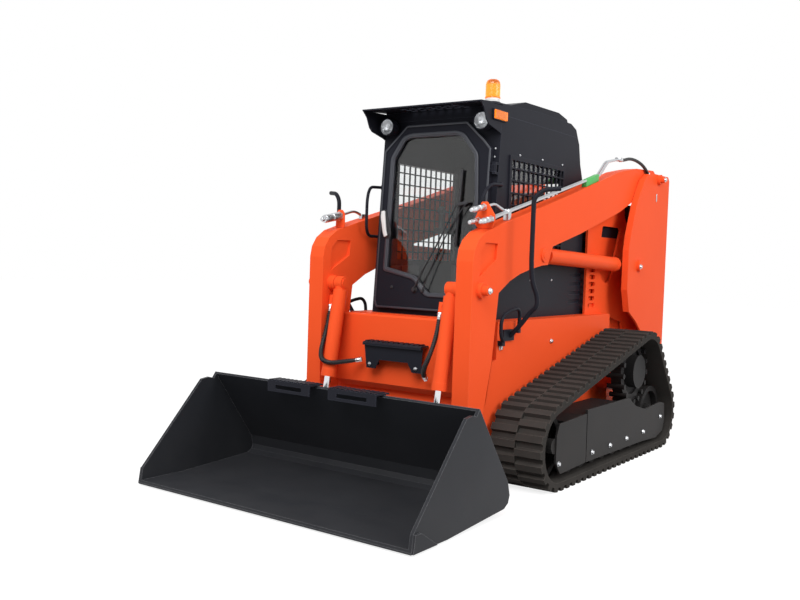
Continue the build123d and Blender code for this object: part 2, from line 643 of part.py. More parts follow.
def bucket():
    """Bucket: side plates with a folded floor and back between them."""
    whole = side_plate(BUCKET_SIDE_OUTLINE, -BUCKET_X, BUCKET_X)
    room = side_plate(BUCKET_ROOM, -BUCKET_X + BUCKET_SIDE, BUCKET_X - BUCKET_SIDE)
    edge = side_plate([(-2005, 10), (-2005, 18), (-1990, 32), (-1800, 32), (-1800, 10)], -BUCKET_X, BUCKET_X)
    cheeks = []
    for x0, x1 in ((BUCKET_X - 1, BUCKET_X + 10), (-BUCKET_X - 10, -BUCKET_X + 1)):
        cheeks.append(side_plate([(-2000, 12), (-1986, 98), (-1940, 98), (-1800, 12)], x0, x1))
    return one(whole - room, edge, *cheeks)


def back_point(share, off, line=BACK_LINE):
    """(y, z) point at a share of the way up a straight stretch of the bucket's back, off behind it."""
    (y0, z0), (y1, z1) = line
    length = hypot(y1 - y0, z1 - z0)
    normal = ((z1 - z0) / length, -(y1 - y0) / length)
    return (y0 + (y1 - y0) * share + normal[0] * off, z0 + (z1 - z0) * share + normal[1] * off)


def bucket_coupler():
    """Attachment frame: a plate on the bucket's back with ears for the leg pins and the rod pins."""
    half = ARM_OUTER_X + RUNNING_GAP + COUPLER_EAR + 6
    plate = side_plate([back_point(0, SEAT_GAP), back_point(1, SEAT_GAP), back_point(1, 22),
                        back_point(0, 22)], -half, half)
    ears = []
    clear = RUNNING_GAP
    leg_ear = [back_point(0, 21), back_point(0.45, 21), (-930, 300), (-880, 262), (-876, 222), (-930, 188)]
    rod_ear = [back_point(0.15, 21), back_point(0.8, 21), (-1050, 362), (-1010, 325), (-1036, 282)]
    for x0 in (ARM_INNER_X - clear - COUPLER_EAR, ARM_OUTER_X + clear):
        ear = side_plate(leg_ear, x0, x0 + COUPLER_EAR)
        ears.append(ear - cross_pin(BUCKET_PIN_YZ, BUCKET_PIN_R + PIN_FIT, x0 - 1, x0 + COUPLER_EAR + 1))
    for x0 in (TILT_X - TILT_EYE_WIDTH / 2 - clear - COUPLER_EAR, TILT_X + TILT_EYE_WIDTH / 2 + clear):
        ears.append(side_plate(rod_ear, x0, x0 + COUPLER_EAR))
    return one(plate, *ears, *[mirror(ear, about=Plane.YZ) for ear in ears])


def bucket_steps():
    """Two toothed steps on the bucket's top edge, each with a front plate that hangs inside the bucket."""
    steps = []
    front, back = BUCKET_STEP_Y
    for x0, x1 in BUCKET_STEP_XS:
        base = side_plate([back_point(0.2, SEAT_GAP, EDGE_LINE), back_point(1, SEAT_GAP, EDGE_LINE),
                           back_point(1, 14, EDGE_LINE), back_point(0.2, 14, EDGE_LINE)], x0, x1)
        tread = block((x0, x1), (front, back), (BUCKET_STEP_Z - SHEET, BUCKET_STEP_Z))
        plate = block((x0, x1), (front, front + SHEET), (BUCKET_STEP_Z - 62, BUCKET_STEP_Z))
        window = block((x0 + 60, x1 - 60), (front - 1, front + SHEET + 1),
                       (BUCKET_STEP_Z - 46, BUCKET_STEP_Z - 22))
        pitch = (x1 - x0) / BUCKET_STEP_TEETH
        teeth = []
        for i in range(BUCKET_STEP_TEETH):
            x = x0 + pitch * (i + 0.25)
            heights = (BUCKET_STEP_Z - 1, BUCKET_STEP_Z + 7)
            teeth.append(block((x, x + pitch / 2), (front, back - 30), heights))
        steps.append(one(base, tread, plate - window, *teeth))
    return Compound([solid for step in steps for solid in step.solids()])


# cab


def front_y(z):
    """Y of the cab's front plane at a height."""
    return CAB_FRONT_Y + (z - CAB_FLOOR) * FRONT_LEAN


CAB_SIDE = [
    (front_y(CAB_FLOOR), CAB_FLOOR), (front_y(CAB_TOP), CAB_TOP), (655, CAB_TOP), (684, 2185),
    (715, 2047), (760, 1944), (888, 1600), (877, CAB_FLOOR),
]
FACE = Plane(origin=(0, CAB_FRONT_Y, CAB_FLOOR), x_dir=(1, 0, 0), z_dir=(0, -1, FRONT_LEAN))
DOOR_OUTLINE = [
    (-385, 1009), (-402, 1054), (-402, 2032), (-236, 2194), (219, 2194), (351, 2074), (400, 2020),
    (400, 1040), (375, 1009),
]
GLASS_OUTLINE = [
    (-332, 1262), (-332, 1982), (-252, 2110), (-198, 2127), (150, 2127), (200, 2108), (300, 1985),
    (322, 1711), (322, 1140), (295, 1110), (10, 1110), (-42, 1152), (-94, 1214),
]


def on_face(points, low, high, grow=0.0):
    """Plate on the cab's front plane from (x, z) points, between two distances in front of it."""
    lean = (1 + FRONT_LEAN ** 2) ** 0.5
    flat = [(x, (z - CAB_FLOOR) * lean) for x, z in points]
    face = make_face(Polyline(*flat, close=True))
    if grow:
        face = offset(face, amount=grow, kind=Kind.INTERSECTION)
    return FACE * extrude(Pos(0, 0, low) * face, amount=high - low, dir=(0, 0, 1))


def cab_shell():
    """Cab: a hollow shell with side, rear and door openings."""
    outer = side_plate(CAB_SIDE, -CAB_X, CAB_X)
    inner = offset(make_face(Polyline(*CAB_SIDE, close=True)), amount=-CAB_WALL, kind=Kind.INTERSECTION)
    half = CAB_X - CAB_WALL
    room = extrude(Pos(-half, 0, 0) * (Plane.YZ * inner), amount=2 * half, dir=(1, 0, 0))
    room_top = block((-half, half), (-400, 620), (CAB_TOP - CAB_WALL - 1, CAB_TOP + 1))
    shell = outer - room - room_top
    shell = shell - block((-CAB_X - 1, CAB_X + 1), WINDOW_Y, WINDOW_Z)
    shell = shell - on_face(DOOR_OUTLINE, -80, 40, grow=-DOOR_LAP)
    shell = shell - block((-REAR_PANE_X, REAR_PANE_X), (700, 1000), REAR_PANE_Z)
    for i in range(4):
        z = 1060 + 62 * i
        for x in (CAB_X - 8, -CAB_X - 1):
            shell = shell - block((x, x + 9), (600, 800), (z, z + 26))
    return one(shell, *hinge_lugs())


ROOF_FRONT_Y = front_y(CAB_TOP) - 1
ROOF = [
    (-700, 2280 - SHEET), (ROOF_FRONT_Y, 2299 - SHEET), (ROOF_FRONT_Y, CAB_TOP + SEAT_GAP),
    (655, CAB_TOP + SEAT_GAP), (624, 2283), (538, 2313), (75, ROOF_TOP), (-459, 2298), (-700, 2280),
]
CHEEK = [
    (-700, 2276), (-655, 2235), (-625, 2175), (-596, 2152), (-471, 2123), (front_y(2115) - 1, 2115),
    (ROOF_FRONT_Y, CAB_TOP), (ROOF_FRONT_Y, CAB_TOP + 4), (-420, CAB_TOP + 4), (-420, 2285),
]
SLOT = (47.0, 28.0)
SLOT_PITCH = 65.0
SLOT_ROW_YS = (-590.0, -528.0, -466.0)


def cab_roof():
    """Roof slab with a thin slotted canopy in front, held between two cheek plates and open below."""
    roof = side_plate(ROOF, -CAB_X, CAB_X)
    cheek = side_plate(CHEEK, CAB_X - SHEET, CAB_X)
    roof = one(roof, cheek, mirror(cheek, about=Plane.YZ))
    for y in SLOT_ROW_YS:
        for i in range(-3, 4):
            slot = Pos(SLOT_PITCH * i, y, 2260) * extrude(SlotOverall(*SLOT), 60)
            roof = roof - slot
    return roof


def work_lamps():
    """Two round lamps on the header over the door, under the canopy."""
    back_y = front_y(LAMP_Z - LAMP_R) - SEAT_GAP
    lamp = bar((LAMP_X, LAMP_FACE_Y, LAMP_Z), (LAMP_X, back_y, LAMP_Z), LAMP_R)
    return both_sides(lamp)


def cab_door():
    """Front door: frame round the glass with two hinge arms at its +X edge."""
    low = CAB_DOOR_PROUD
    high = CAB_DOOR_PROUD + CAB_DOOR_PANEL
    frame = on_face(DOOR_OUTLINE, low, high) - on_face(GLASS_OUTLINE, low - 1, high + 1)
    for z in HINGE_ZS:
        half = HINGE_HALF
        arm = on_face([(395, z - half), (HINGE_X, z - half), (HINGE_X, z + half), (395, z + half)],
                      HINGE_OUT - 8, HINGE_OUT + 8)
        knuckle = hinge_barrel(z, half, HINGE_R + 5) + arm
        frame = frame + (knuckle - hinge_barrel(z, half + 1, HINGE_R + PIN_FIT))
    return frame


def hinge_barrel(z, half, radius):
    """Short cylinder on the door's hinge axis about a height."""
    lean = (1 + FRONT_LEAN ** 2) ** 0.5
    centre = Pos(HINGE_X, (z - CAB_FLOOR) * lean, HINGE_OUT)
    return FACE * centre * Rot(90, 0, 0) * Cylinder(radius, 2 * half)


def hinge_lugs():
    """Cab's half of the door hinges: a pin held by a lug above and below the door's knuckle."""
    lugs = []
    for z in HINGE_ZS:
        near, far = HINGE_HALF + SEAT_GAP, HINGE_HALF + 14
        for low, high in ((z - far, z - near), (z + near, z + far)):
            lugs.append(on_face([(HINGE_X - 12, low), (HINGE_X + 12, low), (HINGE_X + 12, high),
                                 (HINGE_X - 12, high)], -2, HINGE_OUT + 12))
        lugs.append(hinge_barrel(z, far, HINGE_R))
    return lugs


def door_glass():
    """Pane set in the door frame."""
    return on_face(GLASS_OUTLINE, 14, 14 + GLASS, grow=-SEAT_GAP)


def door_fittings():
    """Handle and wiper on the door."""
    top = CAB_DOOR_PROUD + CAB_DOOR_PANEL + SEAT_GAP
    handle = on_face([(-385, 1480), (-350, 1480), (-345, 1639), (-380, 1639)], top, top + 34)
    hub = on_face([(-120, 1120), (-60, 1120), (-60, 1160), (-120, 1160)], top, top + 30)
    arm = on_face([(-96, 1150), (-80, 1150), (60, 1560), (44, 1560)], top + 18, top + 26)
    blade = on_face([(36, 1400), (50, 1400), (68, 1900), (54, 1900)], top + 6, top + 20)
    return Compound([*handle.solids(), *one(hub, arm, blade).solids()])


def window_guards():
    """Steel frames with bars over the side windows."""
    y0, y1 = WINDOW_Y[0] - 24, WINDOW_Y[1] + 24
    z0, z1 = WINDOW_Z[0] - 24, WINDOW_Z[1] + 24
    xs = (CAB_X + SEAT_GAP, CAB_X + 10)
    guard = block(xs, (y0, y1), (z0, z1)) - block((0, 900), (y0 + 26, y1 - 26), (z0 + 26, z1 - 26))
    for i in range(1, 12):
        y = y0 + (y1 - y0) * i / 12
        guard = guard + block(xs, (y - 4, y + 4), (z0 + 10, z1 - 10))
    for i in range(1, 9):
        z = z0 + (z1 - z0) * i / 9
        guard = guard + block(xs, (y0 + 10, y1 - 10), (z - 4, z + 4))
    return both_sides(guard)


def cab_glass():
    """Side panes and rear pane."""
    x = CAB_X - CAB_WALL / 2
    ys = (WINDOW_Y[0] + SEAT_GAP, WINDOW_Y[1] - SEAT_GAP)
    zs = (WINDOW_Z[0] + SEAT_GAP, WINDOW_Z[1] - SEAT_GAP)
    pane = block((x - GLASS / 2, x + GLASS / 2), ys, zs)
    half = REAR_PANE_X - SEAT_GAP
    rear = side_plate([(868, 1600), (874, 1600), (746, 1944), (740, 1944)], -half, half)
    rear = rear & block((-CAB_X, CAB_X), (700, 1000), (REAR_PANE_Z[0] + SEAT_GAP, REAR_PANE_Z[1] - SEAT_GAP))
    return Compound([*both_sides(pane).solids(), *rear.solids()])


def seat_base():
    """Seat box with the two armrests."""
    floor = CAB_FLOOR + CAB_WALL
    box = block((-240, 240), (120, 620), (floor, 1300))
    rests = []
    for side in (1, -1):
        post = block((250, 300), (300, 420), (floor, 1520))
        pad = block((245, 325), (20, 470), (1520, 1560))
        rests.append(placed(one(post, pad), side))
    return Compound([solid for part in (box, *rests) for solid in part.solids()])


def seat():
    """Cushion and backrest."""
    cushion = fillet(block((-230, 230), (110, 600), (1300 + SEAT_GAP, 1420)).edges().filter_by(Axis.Z), 40)
    back = side_plate([(560, 1420 + SEAT_GAP), (680, 1420 + SEAT_GAP), (712, 1880), (640, 1896)], -215, 215)
    return Compound([*cushion.solids(), *back.solids()])


def controls():
    """Joysticks on the armrests and the display console by the door's lower corner."""
    sticks = []
    for side in (1, -1):
        stick = bar((285, 40, 1560 + SEAT_GAP), (285, 40, 1660), 14)
        knob = Pos(285, 40, 1680) * Sphere(30)
        sticks.append(placed(one(stick, knob), side))
    console = block((-400, -310), (-380, -180), (CAB_FLOOR + CAB_WALL, 1290))
    return Compound([solid for part in (*sticks, console) for solid in part.solids()])


def roof_unit():
    """Air unit on the roof with a sloping front."""
    lift = ROOF_TOP + SEAT_GAP
    shape = side_plate([(-230, lift), (60, 2393), (560, 2400), (700, 2372), (715, 2345), (640, 2322),
                        (600, lift)], -ROOF_UNIT_X, ROOF_UNIT_X)
    return fillet(shape.edges().filter_by(Axis.X).sort_by(Axis.Z)[-2:], 12)


def beacon():
    """Amber beacon on a short base."""
    x, y = BEACON_XY
    foot = BEACON_SEAT_Z + SEAT_GAP
    base = Pos(x, y, foot) * Cylinder(52, 22, align=(Align.CENTER, Align.CENTER, Align.MIN))
    lens = Pos(x, y, foot + 20) * Cylinder(46, 133, align=(Align.CENTER, Align.CENTER, Align.MIN))
    return fillet(one(base, lens).edges().sort_by(Axis.Z)[-1], 16)


def marker_lights():
    """Side marker lights on the canopy's cheeks."""
    light = block((CAB_X + SEAT_GAP, CAB_X + 18), (-552, -405), (2195, 2245))
    return both_sides(light)


def handrails():
    """Bent grab rails from pads on the cab's sides, out of the open door's way, and a loop by each arm."""
    low, high = RAIL_ENDS
    x = RAIL_OUT
    back_ys = [front_y(z) + 26 for z in RAIL_ENDS]
    route = [(x, back_ys[0], low), (x, -575, low), (432, -630, 1526), (432, -630, 1700), (440, -609, 1758),
             (x, -565, high - 6), (x, back_ys[1], high)]
    pads = []
    for y, z in zip(back_ys, RAIL_ENDS):
        pads.append(block((CAB_X + SEAT_GAP, x + 4), (y - 6, y + 14), (z - 14, z + 14)))
    foot_x = CHASSIS_X + SEAT_GAP
    ends = ((-400, 930), (-592, 860))
    loop = [(foot_x + 26, *ends[0]), (598, -404, 1062), (598, -540, 1046), (598, -640, 1010),
            (598, -640, 905), (foot_x + 26, *ends[1])]
    feet = [block((foot_x, foot_x + 34), (y - 14, y + 14), (z - 24, z + 6)) for y, z in ends]
    return both_sides(Compound([*one(bent_tube(route, RAIL_R), *pads).solids(),
                                *one(bent_tube(loop, 11), *feet).solids()]))


def mirror_arms():
    """Bent tubes that stand clear of the arms, on plates bolted to the chassis."""
    plate = block((CHASSIS_X + SEAT_GAP, CHASSIS_X + 14), (-560, -430), (862, 930))
    route = [(CHASSIS_X + 12, -480, 890), (640, -480, 960), (700, -478, 1040), (748, -484, 1078),
             (748, -490, 1140), (734, -532, 1220), (732, -549, 1320), (732, -549, 1715), (780, -524, 1762),
             (867, -477, 1771)]
    return both_sides(one(plate, bent_tube(route, 14)))


# pipes and hoses


BRACKET_YS = (-789.0, -781.0)
COUPLER_LEAN = 11.0
COUPLER_NOSE = 24.0
COUPLER_NOSE_R = 12.0
COUPLERS = ((542.0, 1646.0, 18.0, 150.0), (508.0, 1571.0, 16.0, 106.0), (592.0, 1578.0, 18.0, 130.0))
COUPLER_RIGHT = (-524.0, 1596.0, 26.0, 185.0)
BRACKET_LEFT = [(472, 1560), (500, 1523), (596, 1523), (612, 1560), (612, 1598), (560, 1676), (522, 1676)]
BRACKET_RIGHT = [(-560, 1523), (-486, 1523), (-490, 1612), (-508, 1634), (-540, 1634), (-556, 1612)]
PIPE_XS = (556.0, 578.0)
PIPE_R = 8.0
PIPE_RUN = ((-700.0, 1597.0), (746.0, 1972.0))
PIPE_END = (1099.0, 2124.0)
MANIFOLD = (546.0, 588.0)
MANIFOLD_Y = 1120.0


def coupler_way():
    """Direction in which the quick couplers point, as a vector."""
    lean = radians(COUPLER_LEAN)
    return Vector(0, -cos(lean), -sin(lean))


def coupler(x, z, radius, length):
    """Quick coupler on the front of a bracket: a body and a thinner nose."""
    start = Vector(x, BRACKET_YS[0] + 3, z)
    way = coupler_way()
    body = bar(tuple(start), tuple(start + way * (length - COUPLER_NOSE)), radius)
    return body + bar(tuple(start), tuple(start + way * length), COUPLER_NOSE_R)


def bracket(outline):
    """Upright plate across the machine from (x, z) points, standing on the arm's top."""
    face = Plane.XZ * make_face(Polyline(*outline, close=True))
    plate = extrude(Pos(0, BRACKET_YS[0], 0) * face, amount=BRACKET_YS[1] - BRACKET_YS[0], dir=(0, 1, 0))
    below = [(y, arm_top(y) + SEAT_GAP) for y in (-800, -770)]
    return plate - side_plate([*below, (-770, 1400), (-800, 1400)], -700, 700)


def clamp(xs, y0, y1):
    """Pipe clamp on the arm's top between two y, reaching over the pipes."""
    (ya, za), (yb, zb) = PIPE_RUN
    tops = [za + (zb - za) * (y - ya) / (yb - ya) + PIPE_R + 4 for y in (y1, y0)]
    feet = [arm_top(y) + SEAT_GAP for y in (y0, y1)]
    return side_plate([(y0, feet[0]), (y1, feet[1]), (y1, tops[0]), (y0, tops[1])], *xs)


def boom_pipes():
    """Steel pipes along the +X arm's top, and the brackets with quick couplers at both arms' knees."""
    parts = [bracket(BRACKET_LEFT)] + [coupler(*place) for place in COUPLERS]
    for x in PIPE_XS:
        route = [(BRACKET_YS[1] - 3, 1566), *PIPE_RUN, (828, 2037), (884, 2082), PIPE_END]
        parts.append(bent_tube([(x, *yz) for yz in route], PIPE_R))
    x, z = COUPLERS[0][:2]
    parts.append(bent_tube([(x, BRACKET_YS[1] - 3, z), (x, -730, z + 14), (x, -668, z + 26),
                            (x + 6, -590, 1632), (PIPE_XS[0], -560, 1632)], PIPE_R))
    parts.append(clamp((548, 586), -580, -544))
    parts.append(clamp((548, 586), 511, 718))
    parts.append(block(MANIFOLD, (PIPE_END[0] - 14, MANIFOLD_Y), (PIPE_END[1] - 14, PIPE_END[1] + 14)))
    x, z = COUPLER_RIGHT[:2]
    foot = [(y, arm_top(y) + SEAT_GAP) for y in (-548, -508)]
    right = [bracket(BRACKET_RIGHT), coupler(*COUPLER_RIGHT)]
    right.append(bent_tube([(x, BRACKET_YS[1] - 3, z + 6), (x - 14, -706, 1616), (x - 24, -620, 1638),
                            (x - 24, -545, 1618), (x - 24, -524, 1606)], 9))
    right.append(side_plate([*foot, (-508, foot[1][1] + 26), (-548, foot[0][1] + 26)], x - 38, x - 10))
    end = Vector(*BOOM_HOSE[-1])
    way = (end - Vector(*BOOM_HOSE[-2])).normalized()
    union = bar(tuple(end + way * SEAT_GAP), tuple(end + way * 24), HOSE_R + 2)
    union = union + block((ARM_OUTER_X + SEAT_GAP, 618), (1628, 1656), (2012, 2046))
    return Compound([*one(*parts).solids(), *one(*right).solids(), *union.solids()])


HOSE_R = 12.0
BOOM_HOSE = (
    (567.0, MANIFOLD_Y + SEAT_GAP, 2124.0), (567.0, 1185.0, 2124.0), (573.0, 1300.0, 2152.0),
    (588.0, 1400.0, 2148.0), (606.0, 1490.0, 2122.0), (614.0, 1560.0, 2085.0), (615.0, 1622.0, 2046.0),
)
HOSE_START = PORT_AT + PORT_DROP + SEAT_GAP
TILT_HOSES = {
    1: ((TILT_X - PORT_OUT, *along(TILT_PIN_YZ, ROD_PIN_YZ, HOSE_START)),
        (TILT_X - PORT_OUT, *along(TILT_PIN_YZ, ROD_PIN_YZ, HOSE_START + 90)),
        (344, -965, 850), (325, -990, 765), (290, -978, 708), (262, -942, 672), (246, -908, 648),
        (240, -880, 628)),
    -1: ((-TILT_X - PORT_OUT, *along(TILT_PIN_YZ, ROD_PIN_YZ, HOSE_START)),
         (-TILT_X - PORT_OUT, *along(TILT_PIN_YZ, ROD_PIN_YZ, HOSE_START + 90)),
         (-472, -966, 840), (-468, -1005, 750), (-430, -1046, 695), (-365, -1035, 680), (-330, -960, 684),
         (-290, -902, 692), (-240, -880, 704)),
}


def boom_hose():
    """Hose from the pipes on the arm down to a union beside the arm's rear end."""
    return bent_tube(BOOM_HOSE, HOSE_R)


def tilt_hose(side):
    """Hose from a tilt cylinder's top port to behind the step."""
    return bent_tube(TILT_HOSES[side], HOSE_R)


def export_all():
    """Write one file per piece."""
    lift = {side: lift_cylinder(side) for side in (1, -1)}
    tilt = {side: tilt_cylinder(side) for side in (1, -1)}
    arms = [boom_arm(side) for side in (1, -1)]
    nodes = {
        "chassis_tub": chassis_tub(),
        "engine_block": engine_block(),
        "engine_cover": engine_cover(),
        "rear_door": rear_door(),
        "boom_arms": Compound([solid for arm in arms for solid in arm.solids()]),
        "boom_cross": boom_cross(),
        "front_step": front_step(),
        "boom_pipes": boom_pipes(),
        "boom_hose": boom_hose(),
        "bucket": bucket(),
        "bucket_coupler": bucket_coupler(),
        "bucket_steps": bucket_steps(),
        "cab_shell": cab_shell(),
        "cab_roof": cab_roof(),
        "work_lamps": work_lamps(),
        "marker_lights": marker_lights(),
        "cab_door": cab_door(),
        "door_glass": door_glass(),
        "door_fittings": door_fittings(),
        "cab_glass": cab_glass(),
        "window_guards": window_guards(),
        "seat_base": seat_base(),
        "seat": seat(),
        "controls": controls(),
        "roof_unit": roof_unit(),
        "beacon": beacon(),
        "handrails": handrails(),
        "mirror_arms": mirror_arms(),
    }
    for name, side in (("left", 1), ("right", -1)):
        nodes[f"tower_{name}"] = tower(side)
        nodes[f"track_{name}"] = track(side)
        nodes[f"track_frame_{name}"] = track_frame(side)
        nodes[f"wheels_{name}"] = wheels(side)
        nodes[f"lift_barrel_{name}"], nodes[f"lift_rod_{name}"] = lift[side]
        nodes[f"tilt_barrel_{name}"], nodes[f"tilt_rod_{name}"] = tilt[side]
        nodes[f"tilt_hose_{name}"] = tilt_hose(side)
    os.makedirs("parts", exist_ok=True)
    for name, shape in nodes.items():
        export_step(shape, f"parts/{name}.step")


for cord in (BOOM_HOSE, *TILT_HOSES.values()):
    print("hose bend radii", [round(r) for r in corner_radii(cord)])
export_all()
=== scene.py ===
# %% [markdown]
# # A compact track loader
# The machine runs on two rubber tracks. It has a closed cab, two lift arms and a bucket.
# The rigid parts come from CAD as a fixed frame. This lesson gives them their finishes,
# and adds the soft and small pieces that CAD leaves out.

# %% Load the frame
import bpy
import json
import math
from mathutils import Matrix, Vector


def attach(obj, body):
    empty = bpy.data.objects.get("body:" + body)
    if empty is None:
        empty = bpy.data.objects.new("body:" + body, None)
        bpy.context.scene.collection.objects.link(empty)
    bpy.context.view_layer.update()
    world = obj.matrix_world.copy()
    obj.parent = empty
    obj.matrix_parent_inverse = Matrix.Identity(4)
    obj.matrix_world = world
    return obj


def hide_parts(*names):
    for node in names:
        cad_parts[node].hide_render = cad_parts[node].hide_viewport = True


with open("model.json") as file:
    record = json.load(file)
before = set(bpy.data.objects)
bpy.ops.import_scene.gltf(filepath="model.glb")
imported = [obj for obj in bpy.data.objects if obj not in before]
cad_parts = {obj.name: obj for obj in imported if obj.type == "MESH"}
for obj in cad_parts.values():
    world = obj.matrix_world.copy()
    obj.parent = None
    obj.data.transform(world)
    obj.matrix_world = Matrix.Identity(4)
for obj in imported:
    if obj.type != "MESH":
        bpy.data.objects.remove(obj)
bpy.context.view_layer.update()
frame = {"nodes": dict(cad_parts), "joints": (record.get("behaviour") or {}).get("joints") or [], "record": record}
slot_of = {part["node"]: part["material_slot"] for part in frame["record"]["subparts"]}

# %% [markdown]
# ## Camera
# The photograph was taken from the front left corner, about as high as the cab's sill.
# Its place, its turn and its small roll were worked out from matching points on both sides
# of the machine. They are set here as one matrix, whose columns are right, up and back.

# %% Camera
CAMERA_AT = Vector((3.162, -5.286, 1.325))
CAMERA_YAW = math.radians(35.37)
CAMERA_PITCH = math.radians(2.54)
CAMERA_ROLL = math.radians(1.95)
LENS_MM = 40.52
SENSOR_MM = 36


def add_camera():
    """Camera at the photograph's viewpoint."""
    level = math.cos(CAMERA_PITCH)
    back = Vector((math.sin(CAMERA_YAW) * level, -math.cos(CAMERA_YAW) * level, math.sin(CAMERA_PITCH)))
    flat = Vector((math.cos(CAMERA_YAW), math.sin(CAMERA_YAW), 0))
    up = back.cross(flat)
    right = flat * math.cos(CAMERA_ROLL) + up * math.sin(CAMERA_ROLL)
    above = up * math.cos(CAMERA_ROLL) - flat * math.sin(CAMERA_ROLL)
    camera = bpy.data.objects.new("camera", bpy.data.cameras.new("camera"))
    bpy.context.collection.objects.link(camera)
    turn = Matrix((right, above, back)).transposed().to_4x4()
    camera.matrix_world = Matrix.Translation(CAMERA_AT) @ turn
    camera.data.lens = LENS_MM
    camera.data.sensor_width = SENSOR_MM
    return camera


bpy.context.scene.camera = add_camera()
print("camera at", tuple(CAMERA_AT))

# %% [markdown]
# ## Hydraulic hoses
# The boom's pipes end in a thick hose that turns down beside the arm's rear end, and each
# tilt cylinder has a hose from its top port. A hose is a length of rubber held at both
# ends, so each is one smooth spline with the route's points as its control points.

# %% Hoses
HOSE_D = 0.024
BOOM_HOSE = (
    (0.567, 1.1203, 2.124), (0.567, 1.185, 2.124), (0.573, 1.300, 2.152), (0.588, 1.400, 2.148),
    (0.606, 1.490, 2.122), (0.614, 1.560, 2.085), (0.615, 1.622, 2.046),
)
LEFT_HOSE = (
    (0.350, -0.9197, 1.0298), (0.350, -0.9353, 0.9411), (0.344, -0.965, 0.850), (0.325, -0.990, 0.765),
    (0.290, -0.978, 0.708), (0.262, -0.942, 0.672), (0.246, -0.908, 0.648), (0.240, -0.880, 0.628),
)
RIGHT_HOSE = (
    (-0.470, -0.9197, 1.0298), (-0.470, -0.9353, 0.9411), (-0.472, -0.966, 0.840), (-0.468, -1.005, 0.750),
    (-0.430, -1.046, 0.695), (-0.365, -1.035, 0.680), (-0.330, -0.960, 0.684), (-0.290, -0.902, 0.692),
    (-0.240, -0.880, 0.704),
)


def add_hose(name, points, body, node):
    """Round hose along a smooth spline, in place of the CAD tube.

    The thickness is in the points' radius, because a curve's box grows by that radius.
    """
    curve = bpy.data.curves.new(name, "CURVE")
    curve.dimensions = "3D"
    curve.bevel_depth = 1
    curve.bevel_resolution = 6
    curve.resolution_u = 12
    curve.use_fill_caps = True
    spline = curve.splines.new("NURBS")
    spline.points.add(len(points) - 1)
    for point, place in zip(spline.points, points):
        point.co = (*place, 1)
        point.radius = HOSE_D / 2
    spline.order_u = 3
    spline.use_endpoint_u = True
    hose = bpy.data.objects.new(name, curve)
    bpy.context.collection.objects.link(hose)
    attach(hose, body)
    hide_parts(node)
    return hose


hoses = [
    add_hose("boom_hose_rubber", BOOM_HOSE, "boom", "boom_hose"),
    add_hose("tilt_hose_rubber_left", LEFT_HOSE, "tilt_barrel_left", "tilt_hose_left"),
    add_hose("tilt_hose_rubber_right", RIGHT_HOSE, "tilt_barrel_right", "tilt_hose_right"),
]
print("hoses:", [hose.name for hose in hoses])

# %% [markdown]
# ## Light, floor and background
# A studio shot has soft light from all round, one large lamp in front and one at the side.
# The world is plain white for the camera and for reflections, and gives a gentler level
# to the surfaces. The floor looks white as well, and keeps the machine's soft shadow.

# %% Light and floor
WORLD_LIGHT = 0.62
FLOOR_GREY = 0.34
FLOOR_GLOW = 0.80
KEY_W = 540
SIDE_W = 280


def light_path(tree):
    """Value 1 for rays from the camera, in reflections and through glass, else 0."""
    path = tree.nodes.new("ShaderNodeLightPath")
    total = path.outputs["Is Camera Ray"]
    for name in ("Is Glossy Ray", "Is Transmission Ray"):
        add = tree.nodes.new("ShaderNodeMath")
        add.operation = "MAXIMUM"
        tree.links.new(total, add.inputs[0])
        tree.links.new(path.outputs[name], add.inputs[1])
        total = add.outputs[0]
    return total


def set_world(level):
    """White background, with the given level of light on the surfaces."""
    world = bpy.data.worlds.new("studio")
    world.use_nodes = True
    bpy.context.scene.world = world
    tree = world.node_tree
    back = tree.nodes["Background"]
    back.inputs["Color"].default_value = (1, 1, 1, 1)
    mix = tree.nodes.new("ShaderNodeMapRange")
    mix.inputs["To Min"].default_value = level
    mix.inputs["To Max"].default_value = 1.0
    tree.links.new(light_path(tree), mix.inputs["Value"])
    tree.links.new(mix.outputs["Result"], back.inputs["Strength"])


def add_lamp(name, place, target, size, power):
    """Soft square lamp that points at a target."""
    lamp = bpy.data.lights.new(name, "AREA")
    lamp.size = size
    lamp.energy = power
    obj = bpy.data.objects.new(name, lamp)
    bpy.context.collection.objects.link(obj)
    obj.location = place
    obj.rotation_euler = (Vector(target) - Vector(place)).to_track_quat("-Z", "Y").to_euler()


def add_floor():
    """Pale floor that shows as white and still takes a soft shadow."""
    bpy.ops.object.select_all(action="DESELECT")
    bpy.ops.mesh.primitive_plane_add(size=60, location=(0, 0, 0))
    floor = bpy.context.object
    floor.name = "floor"
    mat = bpy.data.materials.new("floor")
    mat.use_nodes = True
    shader = mat.node_tree.nodes["Principled BSDF"]
    shader.inputs["Base Color"].default_value = (FLOOR_GREY, FLOOR_GREY, FLOOR_GREY, 1)
    shader.inputs["Roughness"].default_value = 1.0
    shader.inputs["Specular IOR Level"].default_value = 0.0
    shader.inputs["Emission Color"].default_value = (1, 1, 1, 1)
    mix = mat.node_tree.nodes.new("ShaderNodeMath")
    mix.operation = "MULTIPLY"
    mix.inputs[1].default_value = FLOOR_GLOW
    mat.node_tree.links.new(light_path(mat.node_tree), mix.inputs[0])
    mat.node_tree.links.new(mix.outputs[0], shader.inputs["Emission Strength"])
    floor.data.materials.append(mat)


set_world(WORLD_LIGHT)
add_lamp("key", (1.6, -6.5, 6.5), (0, -0.2, 0.9), 5.0, KEY_W)
add_lamp("side", (7.0, 0.5, 4.5), (0, 0.4, 1.0), 4.0, SIDE_W)
add_floor()
bpy.context.scene.view_settings.view_transform = "Standard"
print("lamps and floor ready")

